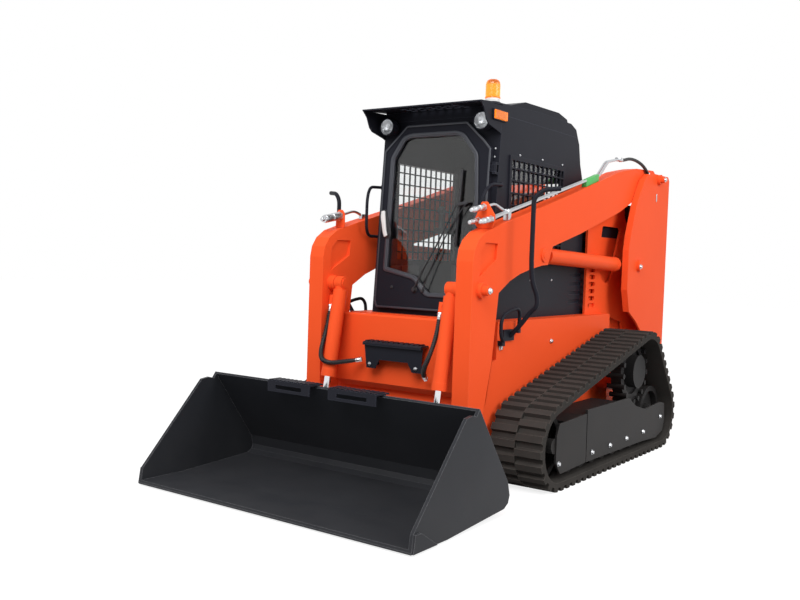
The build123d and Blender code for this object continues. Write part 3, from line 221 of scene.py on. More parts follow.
# %% [markdown]
# ## Shared effects
# Every finish needs some of the same things: a fine grain, broad unevenness, dust that
# gathers low down and on top of things, and lighter outer edges. On the orange and black
# paint these edges are a painted highlight; on the bucket they are worn steel and partly a
# painted highlight, and on the rubber and frame they are wear. Each is built once as a node
# group, and a material places it with its own values.

# %% Node groups for grain, dust and edges


def new_group(name, inputs, outputs):
    """Shader group with named float inputs, given as a dict of defaults, and named outputs."""
    tree = bpy.data.node_groups.new(name, "ShaderNodeTree")
    for label, value in inputs.items():
        socket = tree.interface.new_socket(label, in_out="INPUT", socket_type="NodeSocketFloat")
        socket.default_value = value
    for label in outputs:
        tree.interface.new_socket(label, in_out="OUTPUT", socket_type="NodeSocketFloat")
    return tree, tree.nodes.new("NodeGroupInput"), tree.nodes.new("NodeGroupOutput")


def math_node(tree, operation, first, second=None, clamp=False):
    """Math node whose inputs are sockets or numbers; gives its output."""
    node = tree.nodes.new("ShaderNodeMath")
    node.operation = operation
    node.use_clamp = clamp
    for i, value in enumerate((first, second)):
        if value is None:
            continue
        if isinstance(value, (int, float)):
            node.inputs[i].default_value = value
        else:
            tree.links.new(value, node.inputs[i])
    return node.outputs[0]


def noise(tree, scale, detail):
    """Noise on object coordinates, with a scale that is a number or a socket."""
    coords = tree.nodes.new("ShaderNodeTexCoord")
    node = tree.nodes.new("ShaderNodeTexNoise")
    node.inputs["Detail"].default_value = detail
    tree.links.new(coords.outputs["Object"], node.inputs["Vector"])
    if isinstance(scale, (int, float)):
        node.inputs["Scale"].default_value = scale
    else:
        tree.links.new(scale, node.inputs["Scale"])
    return node.outputs["Fac"]


def make_grain():
    """Fine and broad noise: 'Fine' for bump and roughness, 'Broad' for colour."""
    tree, start, end = new_group("grain", {"Fine Scale": 220.0, "Broad Scale": 2.5}, ("Fine", "Broad"))
    tree.links.new(noise(tree, start.outputs["Fine Scale"], 2.0), end.inputs["Fine"])
    tree.links.new(noise(tree, start.outputs["Broad Scale"], 4.0), end.inputs["Broad"])
    return tree


def make_dust():
    """Mask of dust: more of it low down and on faces that look up, broken up by noise."""
    tree, start, end = new_group("dust", {"Top Height": 0.9, "Amount": 0.5}, ("Mask",))
    coords = tree.nodes.new("ShaderNodeTexCoord")
    split = tree.nodes.new("ShaderNodeSeparateXYZ")
    tree.links.new(coords.outputs["Object"], split.inputs[0])
    low = math_node(tree, "DIVIDE", split.outputs["Z"], start.outputs["Top Height"])
    low = math_node(tree, "SUBTRACT", 1.0, low, clamp=True)
    geometry = tree.nodes.new("ShaderNodeNewGeometry")
    facing = tree.nodes.new("ShaderNodeSeparateXYZ")
    tree.links.new(geometry.outputs["Normal"], facing.inputs[0])
    up = math_node(tree, "MULTIPLY", facing.outputs["Z"], 0.35, clamp=True)
    both = math_node(tree, "ADD", low, up, clamp=True)
    broken = math_node(tree, "MULTIPLY", noise(tree, 7.0, 6.0), both)
    broken = math_node(tree, "MULTIPLY", broken, 1.8, clamp=True)
    tree.links.new(math_node(tree, "MULTIPLY", broken, start.outputs["Amount"]), end.inputs["Mask"])
    return tree


def make_edges():
    """Mask along outer edges, from the angle between the true normal and a rounded one; it carries wear and
    painted edge highlight.
    """
    tree, start, end = new_group("edges", {"Radius": 0.004, "Amount": 1.0}, ("Mask",))
    rounded = tree.nodes.new("ShaderNodeBevel")
    rounded.samples = 4
    tree.links.new(start.outputs["Radius"], rounded.inputs["Radius"])
    geometry = tree.nodes.new("ShaderNodeNewGeometry")
    dot = tree.nodes.new("ShaderNodeVectorMath")
    dot.operation = "DOT_PRODUCT"
    tree.links.new(rounded.outputs[0], dot.inputs[0])
    tree.links.new(geometry.outputs["Normal"], dot.inputs[1])
    away = math_node(tree, "SUBTRACT", 1.0, dot.outputs["Value"], clamp=True)
    away = math_node(tree, "MULTIPLY", away, 3.0, clamp=True)
    patchy = math_node(tree, "MULTIPLY", away, noise(tree, 30.0, 4.0))
    tree.links.new(math_node(tree, "MULTIPLY", patchy, start.outputs["Amount"]), end.inputs["Mask"])
    return tree


GRAIN = make_grain()
DUST = make_dust()
EDGES = make_edges()
print("groups:", GRAIN.name, DUST.name, EDGES.name)

# %% [markdown]
# ## Finishes
# A finish is a Principled shader with its plain values on the sockets, and the shared
# groups feeding its colour, roughness and bump. One function sets up what paint, rubber
# and metal have in common, and each finish then names its own colours.

# %% Build a finish
DUST_COLOUR = (0.16, 0.145, 0.13, 1)
GRAIN_DEPTH = 0.0006


def use_group(tree, group, **values):
    """Places a group in a material; value names have underscores for spaces."""
    node = tree.nodes.new("ShaderNodeGroup")
    node.node_tree = group
    for label, value in values.items():
        node.inputs[label.replace("_", " ")].default_value = value
    return node


def blend_colour(tree, mask, first, second):
    """Colour mixed by a mask; each colour is a socket or a tuple."""
    mix = tree.nodes.new("ShaderNodeMix")
    mix.data_type = "RGBA"
    tree.links.new(mask, mix.inputs["Factor"])
    slots = [s for s in mix.inputs if s.type == "RGBA"]
    for socket, value in zip(slots, (first, second)):
        if isinstance(value, tuple):
            socket.default_value = value
        else:
            tree.links.new(value, socket)
    return [s for s in mix.outputs if s.type == "RGBA"][0]


def ramp(tree, value, low, high):
    """Value stretched from 0..1 to low..high."""
    node = tree.nodes.new("ShaderNodeMapRange")
    node.inputs["To Min"].default_value = low
    node.inputs["To Max"].default_value = high
    tree.links.new(value, node.inputs["Value"])
    return node.outputs["Result"]


def add_bump(tree, shader, height, strength, distance):
    """Bump from a height socket into the shader's normal."""
    bump = tree.nodes.new("ShaderNodeBump")
    bump.inputs["Strength"].default_value = strength
    bump.inputs["Distance"].default_value = distance
    tree.links.new(height, bump.inputs["Height"])
    tree.links.new(bump.outputs["Normal"], shader.inputs["Normal"])


def add_cells(tree, shader, scale, strength, depth):
    """Bump of small rounded cells, for a pebbled lens or leather."""
    coords = tree.nodes.new("ShaderNodeTexCoord")
    cells = tree.nodes.new("ShaderNodeTexVoronoi")
    cells.inputs["Scale"].default_value = scale
    tree.links.new(coords.outputs["Object"], cells.inputs["Vector"])
    add_bump(tree, shader, cells.outputs["Distance"], strength, depth)


def finish(name, colour, second, rough, metallic=0.0, gloss=0.5, dust=0.3, dust_top=0.9, edge=None,
           edge_amount=0.6, bump=0.15):
    """Solid surface: two tones of colour, grain, dust, and lighter edges, partly wear and partly painted
    highlight.
    """
    mat = bpy.data.materials.new(name)
    mat.use_nodes = True
    tree = mat.node_tree
    shader = tree.nodes["Principled BSDF"]
    shader.inputs["Metallic"].default_value = metallic
    shader.inputs["Specular IOR Level"].default_value = gloss
    grain = use_group(tree, GRAIN)
    tone = blend_colour(tree, grain.outputs["Broad"], (*colour, 1), (*second, 1))
    # Lighter outer edges: wear on some finishes, painted highlight on the orange and black paint.
    if edge:
        edge_wear_and_highlight = use_group(tree, EDGES, Amount=edge_amount)
        tone = blend_colour(tree, edge_wear_and_highlight.outputs["Mask"], tone, (*edge, 1))
    level = ramp(tree, grain.outputs["Fine"], rough[0], rough[1])
    if dust:
        dusty = use_group(tree, DUST, Top_Height=dust_top, Amount=dust)
        tone = blend_colour(tree, dusty.outputs["Mask"], tone, DUST_COLOUR)
        level = math_node(tree, "ADD", level, dusty.outputs["Mask"], clamp=True)
    tree.links.new(tone, shader.inputs["Base Color"])
    tree.links.new(level, shader.inputs["Roughness"])
    add_bump(tree, shader, grain.outputs["Fine"], bump, GRAIN_DEPTH)
    return mat


print("finish builder ready")

# %% [markdown]
# ## Paint, rubber and metal
# The arms, towers and frame have a smooth orange paint, with a painted highlight along its
# edges. The cab and the bucket are black; the cab's edges carry a painted highlight, and the
# bucket's brighter edges are partly worn steel and partly painted highlight. The tracks are
# dark rubber with a little dust.

# %% Solid finishes
# The orange's lighter edge colour is a painted highlight along the outer edges.
ORANGE = finish("orange_paint", (0.88, 0.088, 0.020), (0.93, 0.104, 0.027), (0.38, 0.52), gloss=0.05,
                dust=0.03, edge=(1.0, 0.26, 0.10), edge_amount=0.7)
# The black's pale bluish edge colour is a painted highlight along the outer edges.
BLACK = finish("black_paint", (0.012, 0.0125, 0.018), (0.017, 0.018, 0.025), (0.34, 0.48), gloss=0.07,
               dust=0.02, edge=(0.11, 0.12, 0.16), edge_amount=0.8)
# The bucket's grey edges are worn steel and partly a painted highlight.
BUCKET_BLACK = finish("bucket_paint", (0.017, 0.018, 0.022), (0.028, 0.030, 0.035), (0.32, 0.48), gloss=0.10,
                      dust=0.05, dust_top=0.5, edge=(0.34, 0.34, 0.36), edge_amount=1.0)
RUBBER = finish("track_rubber", (0.022, 0.020, 0.019), (0.036, 0.033, 0.031), (0.70, 0.92), gloss=0.08,
                dust=0.14, dust_top=1.1, edge=(0.24, 0.21, 0.18), edge_amount=0.8, bump=0.5)
CHARCOAL = finish("charcoal_paint", (0.012, 0.012, 0.013), (0.022, 0.021, 0.022), (0.40, 0.58), gloss=0.10,
                  dust=0.12, dust_top=0.8, edge=(0.20, 0.19, 0.19), edge_amount=0.9)
CHROME = finish("chrome", (0.78, 0.79, 0.81), (0.83, 0.84, 0.86), (0.06, 0.16), metallic=1.0, dust=0.0,
                bump=0.02)
STEEL = finish("zinc_steel", (0.50, 0.51, 0.53), (0.62, 0.63, 0.65), (0.22, 0.36), metallic=1.0, dust=0.0,
               bump=0.05)
RUBBER_HOSE = finish("hose_rubber", (0.012, 0.012, 0.014), (0.022, 0.022, 0.024), (0.42, 0.60), gloss=0.4,
                     dust=0.05, bump=0.3)
PLASTIC = finish("cab_plastic", (0.016, 0.016, 0.019), (0.028, 0.028, 0.031), (0.50, 0.66), gloss=0.35,
                 dust=0.0, bump=0.4)
GASKET = finish("gasket_rubber", (0.030, 0.033, 0.043), (0.042, 0.046, 0.058), (0.30, 0.42),
                dust=0.02)
GREEN = finish("green_clamp", (0.05, 0.36, 0.07), (0.07, 0.44, 0.10), (0.40, 0.55), dust=0.05, bump=0.2)
WHITE = finish("white_plastic", (0.70, 0.70, 0.69), (0.78, 0.78, 0.77), (0.30, 0.42), dust=0.05, bump=0.05)
ENGINE = finish("engine_iron", (0.045, 0.046, 0.050), (0.075, 0.076, 0.080), (0.45, 0.70), dust=0.2)
print("solid finishes ready")

# %% [markdown]
# ## Glass and lights
# The panes are nearly clear, so the cab's inside and the far window's guard show through.
# Lamps have clear lenses, and the beacon and markers have amber ones.

# %% Clear finishes
GLASS_IOR = 1.45
LENS_CELLS = 170.0


def clear(name, colour, rough, glow=0.0, pebble=0.0):
    """Glass or clear plastic, with a pebbled surface where asked."""
    mat = bpy.data.materials.new(name)
    mat.use_nodes = True
    tree = mat.node_tree
    shader = tree.nodes["Principled BSDF"]
    shader.inputs["Base Color"].default_value = (*colour, 1)
    shader.inputs["Transmission Weight"].default_value = 1.0
    shader.inputs["IOR"].default_value = GLASS_IOR
    shader.inputs["Emission Color"].default_value = (*colour, 1)
    shader.inputs["Emission Strength"].default_value = glow
    grain = use_group(tree, GRAIN)
    uneven = ramp(tree, grain.outputs["Broad"], rough, rough * 1.3 + 0.002)
    tree.links.new(uneven, shader.inputs["Roughness"])
    if pebble:
        add_cells(tree, shader, LENS_CELLS, pebble, 0.003)
    return mat


GLASS = clear("tinted_glass", (0.965, 0.975, 0.975), 0.0)
LAMP = clear("lamp_glass", (0.88, 0.89, 0.90), 0.28, pebble=0.8)
AMBER = clear("amber_lens", (1.0, 0.30, 0.015), 0.10, glow=0.30, pebble=0.25)
print("clear finishes ready")

# %% [markdown]
# ## Seat leather
# The seat is covered in brown leather. Its grain is a cell pattern, fine enough to show
# only as a soft break in the gloss.

# %% Leather
LEATHER_CELLS = 260.0


def leather(name, colour, second):
    """Soft leather with a fine cell grain."""
    mat = finish(name, colour, second, (0.42, 0.62), dust=0.0, bump=0.1)
    tree = mat.node_tree
    add_cells(tree, tree.nodes["Principled BSDF"], LEATHER_CELLS, 0.35, 0.0008)
    return mat


LEATHER = leather("seat_leather", (0.20, 0.085, 0.045), (0.28, 0.13, 0.07))
print("leather ready")

# %% [markdown]
# ## Finish the CAD nodes
# Each CAD node carries a material slot by name. One table says which finish stands for
# which slot, and every node gets its own. The hoses made above get theirs here too.

# %% Assign finishes
FINISH = {
    "orange": ORANGE, "black_paint": BLACK, "bucket_paint": BUCKET_BLACK, "track_rubber": RUBBER,
    "charcoal": CHARCOAL, "chrome": CHROME, "steel": STEEL, "hose": RUBBER_HOSE, "glass": GLASS,
    "seat_cover": LEATHER, "interior": PLASTIC, "amber": AMBER, "lamp": LAMP, "engine": ENGINE,
}
for name, node in frame["nodes"].items():
    for holder in node.material_slots:
        holder.material = FINISH[slot_of[name]]
for hose in hoses:
    hose.data.materials.append(RUBBER_HOSE)
print("finished", len(frame["nodes"]), "nodes")

# %% [markdown]
# ## Ways to make a piece
# Most added pieces start in one of four ways: a block between two corners, a turned shape
# drawn up ring by ring, a bent bar along a spline, or a plate or rim from an outline. Each
# is made in millimetres, as the CAD is, and settled so that its place is in its mesh.

# %% Helpers for modelling


def start_fresh():
    """Nothing selected, in object mode."""
    if bpy.context.object and bpy.context.object.mode != "OBJECT":
        bpy.ops.object.mode_set(mode="OBJECT")
    bpy.ops.object.select_all(action="DESELECT")


def take(piece):
    """Only this piece selected and active."""
    start_fresh()
    piece.select_set(True)
    bpy.context.view_layer.objects.active = piece


def settle(piece):
    """Place, turn and size moved from the object into its mesh, with faces outwards."""
    take(piece)
    bpy.ops.object.transform_apply(location=True, rotation=True, scale=True)
    bpy.ops.object.mode_set(mode="EDIT")
    bpy.ops.mesh.select_all(action="SELECT")
    bpy.ops.mesh.normals_make_consistent(inside=False)
    bpy.ops.object.mode_set(mode="OBJECT")
    return piece


def soften(piece, width):
    """Edges rounded off by a width in millimetres."""
    take(piece)
    bevel = piece.modifiers.new("soft edges", "BEVEL")
    bevel.width = width / 1000
    bevel.segments = 2
    bevel.limit_method = "ANGLE"
    bpy.ops.object.modifier_apply(modifier=bevel.name)
    return piece


def add_block(low, high, soft):
    """Box between two corners, with softened edges."""
    start_fresh()
    centre = [(a + b) / 2000 for a, b in zip(low, high)]
    size = [(b - a) / 1000 for a, b in zip(low, high)]
    bpy.ops.mesh.primitive_cube_add(size=1, location=centre, scale=size)
    return soften(settle(bpy.context.object), soft)


def add_turned(profile, place, way=(0, 0, 1), steps=32, soft=0.8):
    """Round piece from (radius, height) pairs, drawn up ring by ring, set at a place along a way."""
    start_fresh()
    radius, height = profile[0]
    bpy.ops.mesh.primitive_circle_add(vertices=steps, radius=radius / 1000, fill_type="NGON",
                                      location=(0, 0, height / 1000))
    piece = settle(bpy.context.object)
    bpy.ops.object.mode_set(mode="EDIT")
    bpy.ops.mesh.select_all(action="SELECT")
    for (r0, z0), (r1, z1) in zip(profile, profile[1:]):
        bpy.ops.mesh.extrude_region_move(TRANSFORM_OT_translate={"value": (0, 0, (z1 - z0) / 1000)})
        bpy.ops.transform.resize(value=(r1 / r0, r1 / r0, 1), center_override=(0, 0, z1 / 1000))
    bpy.ops.object.mode_set(mode="OBJECT")
    turn = Vector((0, 0, 1)).rotation_difference(Vector(way)).to_matrix().to_4x4()
    piece.matrix_world = Matrix.Translation(Vector(place) / 1000) @ turn
    settle(piece)
    return soften(piece, soft) if soft else piece


def add_bar(points, radius):
    """Bent round bar along a spline through the route's control points, as a mesh."""
    start_fresh()
    curve = bpy.data.curves.new("bar", "CURVE")
    curve.dimensions = "3D"
    curve.bevel_depth = radius / 1000
    curve.bevel_resolution = 3
    curve.resolution_u = 8
    curve.use_fill_caps = True
    spline = curve.splines.new("NURBS")
    spline.points.add(len(points) - 1)
    for point, place in zip(spline.points, points):
        point.co = (*[v / 1000 for v in place], 1)
    spline.order_u = 3
    spline.use_endpoint_u = True
    bar = bpy.data.objects.new("bar", curve)
    bpy.context.collection.objects.link(bar)
    take(bar)
    bpy.ops.object.convert(target="MESH")
    return settle(bpy.context.object)


def add_plate(points, way, thickness, soft=1.0, corner=0.0, rim=0.0):
    """Plate from an outline in space, drawn out along a way; with a rim, only its edge band."""
    start_fresh()
    mesh = bpy.data.meshes.new("plate")
    mesh.from_pydata([[v / 1000 for v in p] for p in points], [], [range(len(points))])
    piece = bpy.data.objects.new("plate", mesh)
    bpy.context.collection.objects.link(piece)
    take(piece)
    bpy.ops.object.mode_set(mode="EDIT")
    bpy.ops.mesh.select_all(action="SELECT")
    if corner:
        bpy.ops.mesh.bevel(affect="VERTICES", offset=corner / 1000, segments=5)
        bpy.ops.mesh.select_all(action="SELECT")
    if rim:
        bpy.ops.mesh.inset(thickness=rim / 1000)
        bpy.ops.mesh.delete(type="FACE")
        bpy.ops.mesh.select_all(action="SELECT")
    step = Vector(way).normalized() * thickness / 1000
    bpy.ops.mesh.extrude_region_move(TRANSFORM_OT_translate={"value": tuple(step)})
    bpy.ops.object.mode_set(mode="OBJECT")
    settle(piece)
    return soften(piece, soft) if soft else piece


def joined(pieces):
    """Several meshes as one."""
    take(pieces[0])
    for piece in pieces:
        piece.select_set(True)
    bpy.ops.object.join()
    return bpy.context.object


def copied(piece, matrix):
    """The piece again, with its own mesh, moved or mirrored by a matrix."""
    other = piece.copy()
    other.data = piece.data.copy()
    bpy.context.collection.objects.link(other)
    other.data.transform(matrix)
    if matrix.determinant() < 0:
        other.data.flip_normals()
    return other


def fitted(piece, material, name, body, angle=35):
    """Named piece in one finish, smooth up to an angle, that moves with a body."""
    piece.data.materials.clear()
    piece.data.materials.append(material)
    take(piece)
    bpy.ops.object.shade_smooth_by_angle(angle=math.radians(angle))
    piece.name = name
    piece.data.name = name
    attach(piece, body)
    print(name, len(piece.data.polygons), "faces")
    return piece


MIRROR_X = Matrix.Scale(-1, 4, (1, 0, 0))
print("helpers ready")

# %% [markdown]
# ## Hose ends and spiral guards
# A hydraulic hose ends in a crimped steel collar with a nut. Each tilt hose has a spiral wound
# round it against chafing. Both follow the hose's own smooth line, read back as points.

# %% Hose ends
NUT = [(17, 0), (17, 13)]
CRIMP = [(14.5, 13), (14.5, 22), (15.5, 23), (15.5, 30), (14.5, 31), (14.5, 40), (13, 42)]
SPIRAL_PITCH = 11.0
SPIRAL_WIRE_R = 2.4
SPIRAL_GAP = 0.0012
SPIRAL_STEPS = 12
BARE_SHARE = 0.09


def line_of(hose):
    """Points along a hose's spline, in metres, from a copy of its curve with no thickness."""
    bare = hose.copy()
    bare.data = hose.data.copy()
    bare.data.bevel_depth = 0
    bpy.context.collection.objects.link(bare)
    bpy.context.view_layer.update()
    mesh = bpy.data.meshes.new_from_object(bare)
    points = [vertex.co.copy() for vertex in mesh.vertices]
    bpy.data.objects.remove(bare)
    return points


def add_collars(hose, body, name):
    """Crimped collar with a hex nut at each end of a hose."""
    points = line_of(hose)
    parts = []
    for end, inner in ((points[0], points[3]), (points[-1], points[-4])):
        way = (inner - end).normalized()
        start = end * 1000
        parts.append(add_turned(NUT, start, way, steps=6))
        parts.append(add_turned(CRIMP, start, way, steps=24, soft=0.4))
    return fitted(joined(parts), STEEL, name, body)


def add_spiral(hose, body, name):
    """Spiral guard wound round a hose, all but a short stretch at each end."""
    points = line_of(hose)
    side = Vector((1, 0, 0))
    turns = []
    run = 0.0
    for here, there in zip(points, points[1:]):
        step = there - here
        way = step.normalized()
        side = (side - way * side.dot(way)).normalized()
        count = max(2, round(step.length * 1000 / SPIRAL_PITCH * SPIRAL_STEPS))
        for i in range(count):
            angle = 2 * math.pi * (run + step.length * i / count) * 1000 / SPIRAL_PITCH
            out = side * math.cos(angle) + way.cross(side) * math.sin(angle)
            turns.append((here + step * i / count + out * (HOSE_D / 2 + SPIRAL_GAP)) * 1000)
        run += step.length
    skip = int(len(turns) * BARE_SHARE)
    return fitted(add_bar(turns[skip:-skip], SPIRAL_WIRE_R), RUBBER_HOSE, name, body)


add_collars(hoses[0], "boom", "boom_hose_collars")
for hose, side in ((hoses[1], "left"), (hoses[2], "right")):
    add_collars(hose, "tilt_barrel_" + side, "tilt_hose_collars_" + side)
    add_spiral(hose, "tilt_barrel_" + side, "tilt_hose_guard_" + side)

# %% [markdown]
# ## Door rims
# The door's sheet has a raised rim along its edge, and the glass sits in a thick rubber
# gasket. Both are bands that follow an outline on the leaning door face.

# %% Door rims
DOOR_WAY = (0, -0.99767, 0.06824)
DOOR_FACE = 37.2
GLASS_FACE = 20.2
DOOR_EDGE = (
    (-385, 1009), (-402, 1054), (-402, 2032), (-236, 2194), (219, 2194), (351, 2074), (400, 2020),
    (400, 1040), (375, 1009),
)
GLASS_EDGE = (
    (-332, 1262), (-332, 1982), (-252, 2110), (-198, 2127), (150, 2127), (200, 2108), (300, 1985),
    (322, 1711), (322, 1140), (295, 1110), (10, 1110), (-42, 1152), (-94, 1214),
)


def on_door(x, z, out):
    """Point a distance out from the leaning cab front, in millimetres."""
    front = -525 + (z - 977.3) * 0.0684
    return (x, front + DOOR_WAY[1] * out, z + DOOR_WAY[2] * out)


def door_outline(points, out):
    """Outline on the door at one distance out."""
    return [on_door(x, z, out) for x, z in points]


def widened(points, reach):
    """Outline moved outwards by a reach, all round; its points run clockwise."""
    moved = []
    for before, here, after in zip(points[-1:] + points[:-1], points, points[1:] + points[:1]):
        first = (Vector(here) - Vector(before)).normalized()
        second = (Vector(after) - Vector(here)).normalized()
        out = Vector((-first.y, first.x)) + Vector((-second.y, second.x))
        out *= reach / (1 + first.dot(second))
        moved.append((here[0] + out.x, here[1] + out.y))
    return moved


LIP = door_outline(widened(GLASS_EDGE, 15), DOOR_FACE)
lip = add_plate(LIP, DOOR_WAY, 9, soft=4, corner=22, rim=20)
throat = add_plate(door_outline(GLASS_EDGE, GLASS_FACE), DOOR_WAY, 22, soft=5, corner=14, rim=14)
fitted(joined([lip, throat]), GASKET, "door_gasket", "cab_door", angle=60)
rim = add_plate(door_outline(DOOR_EDGE, DOOR_FACE - 0.1), DOOR_WAY, 6, soft=2, corner=10, rim=13)
fitted(rim, GASKET, "door_rim", "cab_door")

# %% [markdown]
# ## Door lever, lock and wiper
# The white lever lies on a dark lock plate. The wiper has two thin arms side by side, so
# its blade stays upright as it sweeps.

# %% Door fittings
LOCK = ((-384, 1520), (-384, 1644), (-350, 1650), (-296, 1500), (-300, 1463), (-352, 1458))
LEVER = ((-380, 1600), (-378, 1636), (-352, 1640), (-346, 1600), (-330, 1510), (-318, 1478), (-342, 1466),
         (-356, 1500))
LONG_ARM = ((-86, 1138, 56), (-20, 1262, 58), (110, 1500, 56), (186, 1673, 50))
SHORT_ARM = ((-20, 1132, 54), (72, 1378, 52), (160, 1540, 50), (245, 1672, 50), (266, 1690, 48))
BLADE_LINK = ((176, 1662), (182, 1684), (262, 1700), (272, 1682))
BLADE = ((197, 1899), (211, 1899), (201, 1416), (187, 1416))
BLADE_LIP = ((201, 1895), (207, 1895), (197, 1420), (191, 1420))


def add_door_bar(points, radius):
    """Bar through (x, z, out) points on the door."""
    return add_bar([on_door(*point) for point in points], radius)


def add_door_stud(x, z, out, profile, steps=24):
    """Turned stud that stands out from the door."""
    return add_turned(profile, on_door(x, z, out), DOOR_WAY, steps=steps)


def add_door_plate(points, out, thickness, soft, corner=0.0):
    """Flat plate on the door, at a distance out."""
    return add_plate(door_outline(points, out), DOOR_WAY, thickness, soft=soft, corner=corner)


lock_parts = [
    add_door_plate(LOCK, 43.2, 9, 3, 10),
    add_door_stud(-318, 1488, 52, [(11, 0), (11, 4), (8, 6)]),
    add_door_stud(-267, 1146, DOOR_FACE, [(12, 0), (12, 5), (8, 9)], steps=6),
]
fitted(joined(lock_parts), PLASTIC, "door_lock", "cab_door")
lever = add_door_plate(LEVER, 53.2, 13, 4, 6)
fitted(lever, WHITE, "door_lever", "cab_door")

wiper = [
    add_door_stud(-86, 1138, DOOR_FACE, [(20, 0), (20, 6), (13, 9), (13, 22)]),
    add_door_stud(-20, 1132, DOOR_FACE, [(16, 0), (16, 6), (10, 9), (10, 22)]),
    add_door_bar(LONG_ARM, 5),
    add_door_bar(SHORT_ARM, 4),
    add_door_plate(BLADE_LINK, 44, 8, 2),
    add_door_plate(BLADE, 30, 11, 2),
    add_door_plate(BLADE_LIP, GLASS_FACE + 0.1, 10, 1),
]
wiper_piece = fitted(joined(wiper), PLASTIC, "door_wiper", "cab_door")
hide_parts("door_fittings")

# %% [markdown]
# ## Work lamps
# Each lamp is a black bowl with a polished reflector and a pebbled lens. Turned profiles
# suit it: the outer wall goes forward, folds over the rim and comes back in.

# %% Lamps
LAMP_PLACES = [(side * 354, -446.7, 2186) for side in (1, -1)]
BOWL = [(26, 0), (40, 10), (52, 40), (54, 64), (54, 92), (55, 93), (55, 104), (50.5, 104), (50.5, 94),
        (34, 72), (12, 62)]
REFLECTOR = [(12, 62.4), (34, 72.4), (50, 94.4), (48, 94.4), (33, 75), (13, 66)]
LENS = [(49.8, 95.5), (49.8, 98), (42, 101), (22, 102.6)]


def add_lamp_part(profile, soft=0.5):
    """The same turned part on both lamps."""
    return joined([add_turned(profile, place, (0, -1, 0), steps=48, soft=soft) for place in LAMP_PLACES])


bowls = fitted(add_lamp_part(BOWL), BLACK, "lamp_bowls", "machine")
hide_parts("work_lamps")
fitted(add_lamp_part(REFLECTOR, 0), CHROME, "lamp_reflectors", "machine", angle=50)
fitted(add_lamp_part(LENS, 0), LAMP, "lamp_lenses", "machine", angle=50)

# %% [markdown]
# ## Beacon and marker lights
# The beacon's dome is moulded with rings that spread its light. It stands on a pale band
# over a black foot. The marker lights sit in a thin dark surround.

# %% Beacon and markers
BEACON_AT = (355, -420, 2301.9)
DOME = [(45, 44), (45, 50)]
for groove in range(9):
    DOME += [(46, 53 + 8 * groove), (44.5, 57 + 8 * groove)]
DOME += [(43, 130), (38, 142), (28, 149), (10, 152.5)]

foot = add_turned([(52, 0), (52, 9), (48, 12)], BEACON_AT, steps=48)
foot_piece = fitted(foot, BLACK, "beacon_foot", "machine")
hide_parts("beacon")
band = add_turned([(44, 12.2), (44, 34), (42, 36)], BEACON_AT, steps=48)
fitted(band, WHITE, "beacon_band", "machine")
ring = add_turned([(48, 36.2), (48, 43), (46, 44)], BEACON_AT, steps=48)
dome = add_turned(DOME, BEACON_AT, steps=48, soft=0)
fitted(joined([ring, dome]), AMBER, "beacon_dome", "machine", angle=50)

bezel = add_plate([(440.4, -561, 2186), (440.4, -396, 2186), (440.4, -396, 2254), (440.4, -561, 2254)],
                  (1, 0, 0), 10, soft=2, corner=10, rim=8)
bezels = joined([bezel, copied(bezel, MIRROR_X)])
fitted(bezels, BLACK, "marker_bezels", "machine")

# %% [markdown]
# ## Pipes and quick couplers on the boom
# Two steel pipes run along the left arm to couplers at its knee, where an attachment's
# hoses plug in. Orange brackets hold the couplers, and a green block clamps the pipes.

# %% Boom pipes
PIPE_RUN = (
    (-784, 1566), (-742, 1582), (-700, 1597), (-630, 1615), (700, 1960), (746, 1972), (828, 2037),
    (884, 2082), (930, 2091), (1060, 2117), (1099, 2124),
)
SHORT_PIPE = ((542, -781, 1646), (542, -730, 1660), (542, -668, 1672), (546, -620, 1654), (556, -560, 1634))
RIGHT_PIPE = (
    (-524, -781, 1602), (-538, -706, 1616), (-548, -620, 1638), (-548, -545, 1618), (-548, -528, 1608),
)
COUPLER_WAY = (0, -math.cos(math.radians(11)), -math.sin(math.radians(11)))
BRACKET_Y = -781
CLAMP_X = 548
CLAMP_WIDTH = 38
BRACKET_L = ((472, 1560), (500, 1523), (596, 1523), (612, 1560), (612, 1598), (560, 1676), (522, 1676))
BRACKET_R = ((-560, 1523), (-486, 1523), (-490, 1612), (-508, 1634), (-540, 1634), (-556, 1612))


def add_bracket(outline):
    """Upright plate across an arm's knee."""
    return add_plate([(x, BRACKET_Y, z) for x, z in outline], (0, -1, 0), 8, soft=1.5, corner=5)


def add_coupler(x, z, radius, length):
    """Quick coupler with a stepped sleeve, a groove and a narrow nose."""
    r = radius
    body = [(r * 0.8, 0), (r * 0.8, 14), (r, 16), (r, length * 0.42), (r * 0.84, length * 0.42 + 2),
            (r * 0.84, length * 0.5), (r, length * 0.5 + 2), (r, length - 36), (r * 0.86, length - 32),
            (r * 0.86, length - 24), (12, length - 23.5), (12, length - 2), (9, length)]
    parts = [add_turned(body, (x, BRACKET_Y - 9, z), COUPLER_WAY, soft=0.5)]
    parts.append(add_turned([(r + 3, 0), (r + 3, 12)], (x, BRACKET_Y - 8.5, z), COUPLER_WAY, steps=6))
    return joined(parts)


def arm_top(y):
    """Height of the arm's top edge, from the CAD outline's two straight runs under the clamps."""
    if y > 382:
        return 1832 + (y - 382) * 195 / 686
    return 1562 + (y + 641) * 113 / 441


def add_clamp(y0, y1, top):
    """Block on the arm's top that holds both pipes."""
    side = [(CLAMP_X, y0, arm_top(y0) + 0.4), (CLAMP_X, y1, arm_top(y1) + 0.4)]
    side += [(CLAMP_X, y1, arm_top(y1) + top), (CLAMP_X, y0, arm_top(y0) + top)]
    return add_plate(side, (1, 0, 0), CLAMP_WIDTH, soft=4)


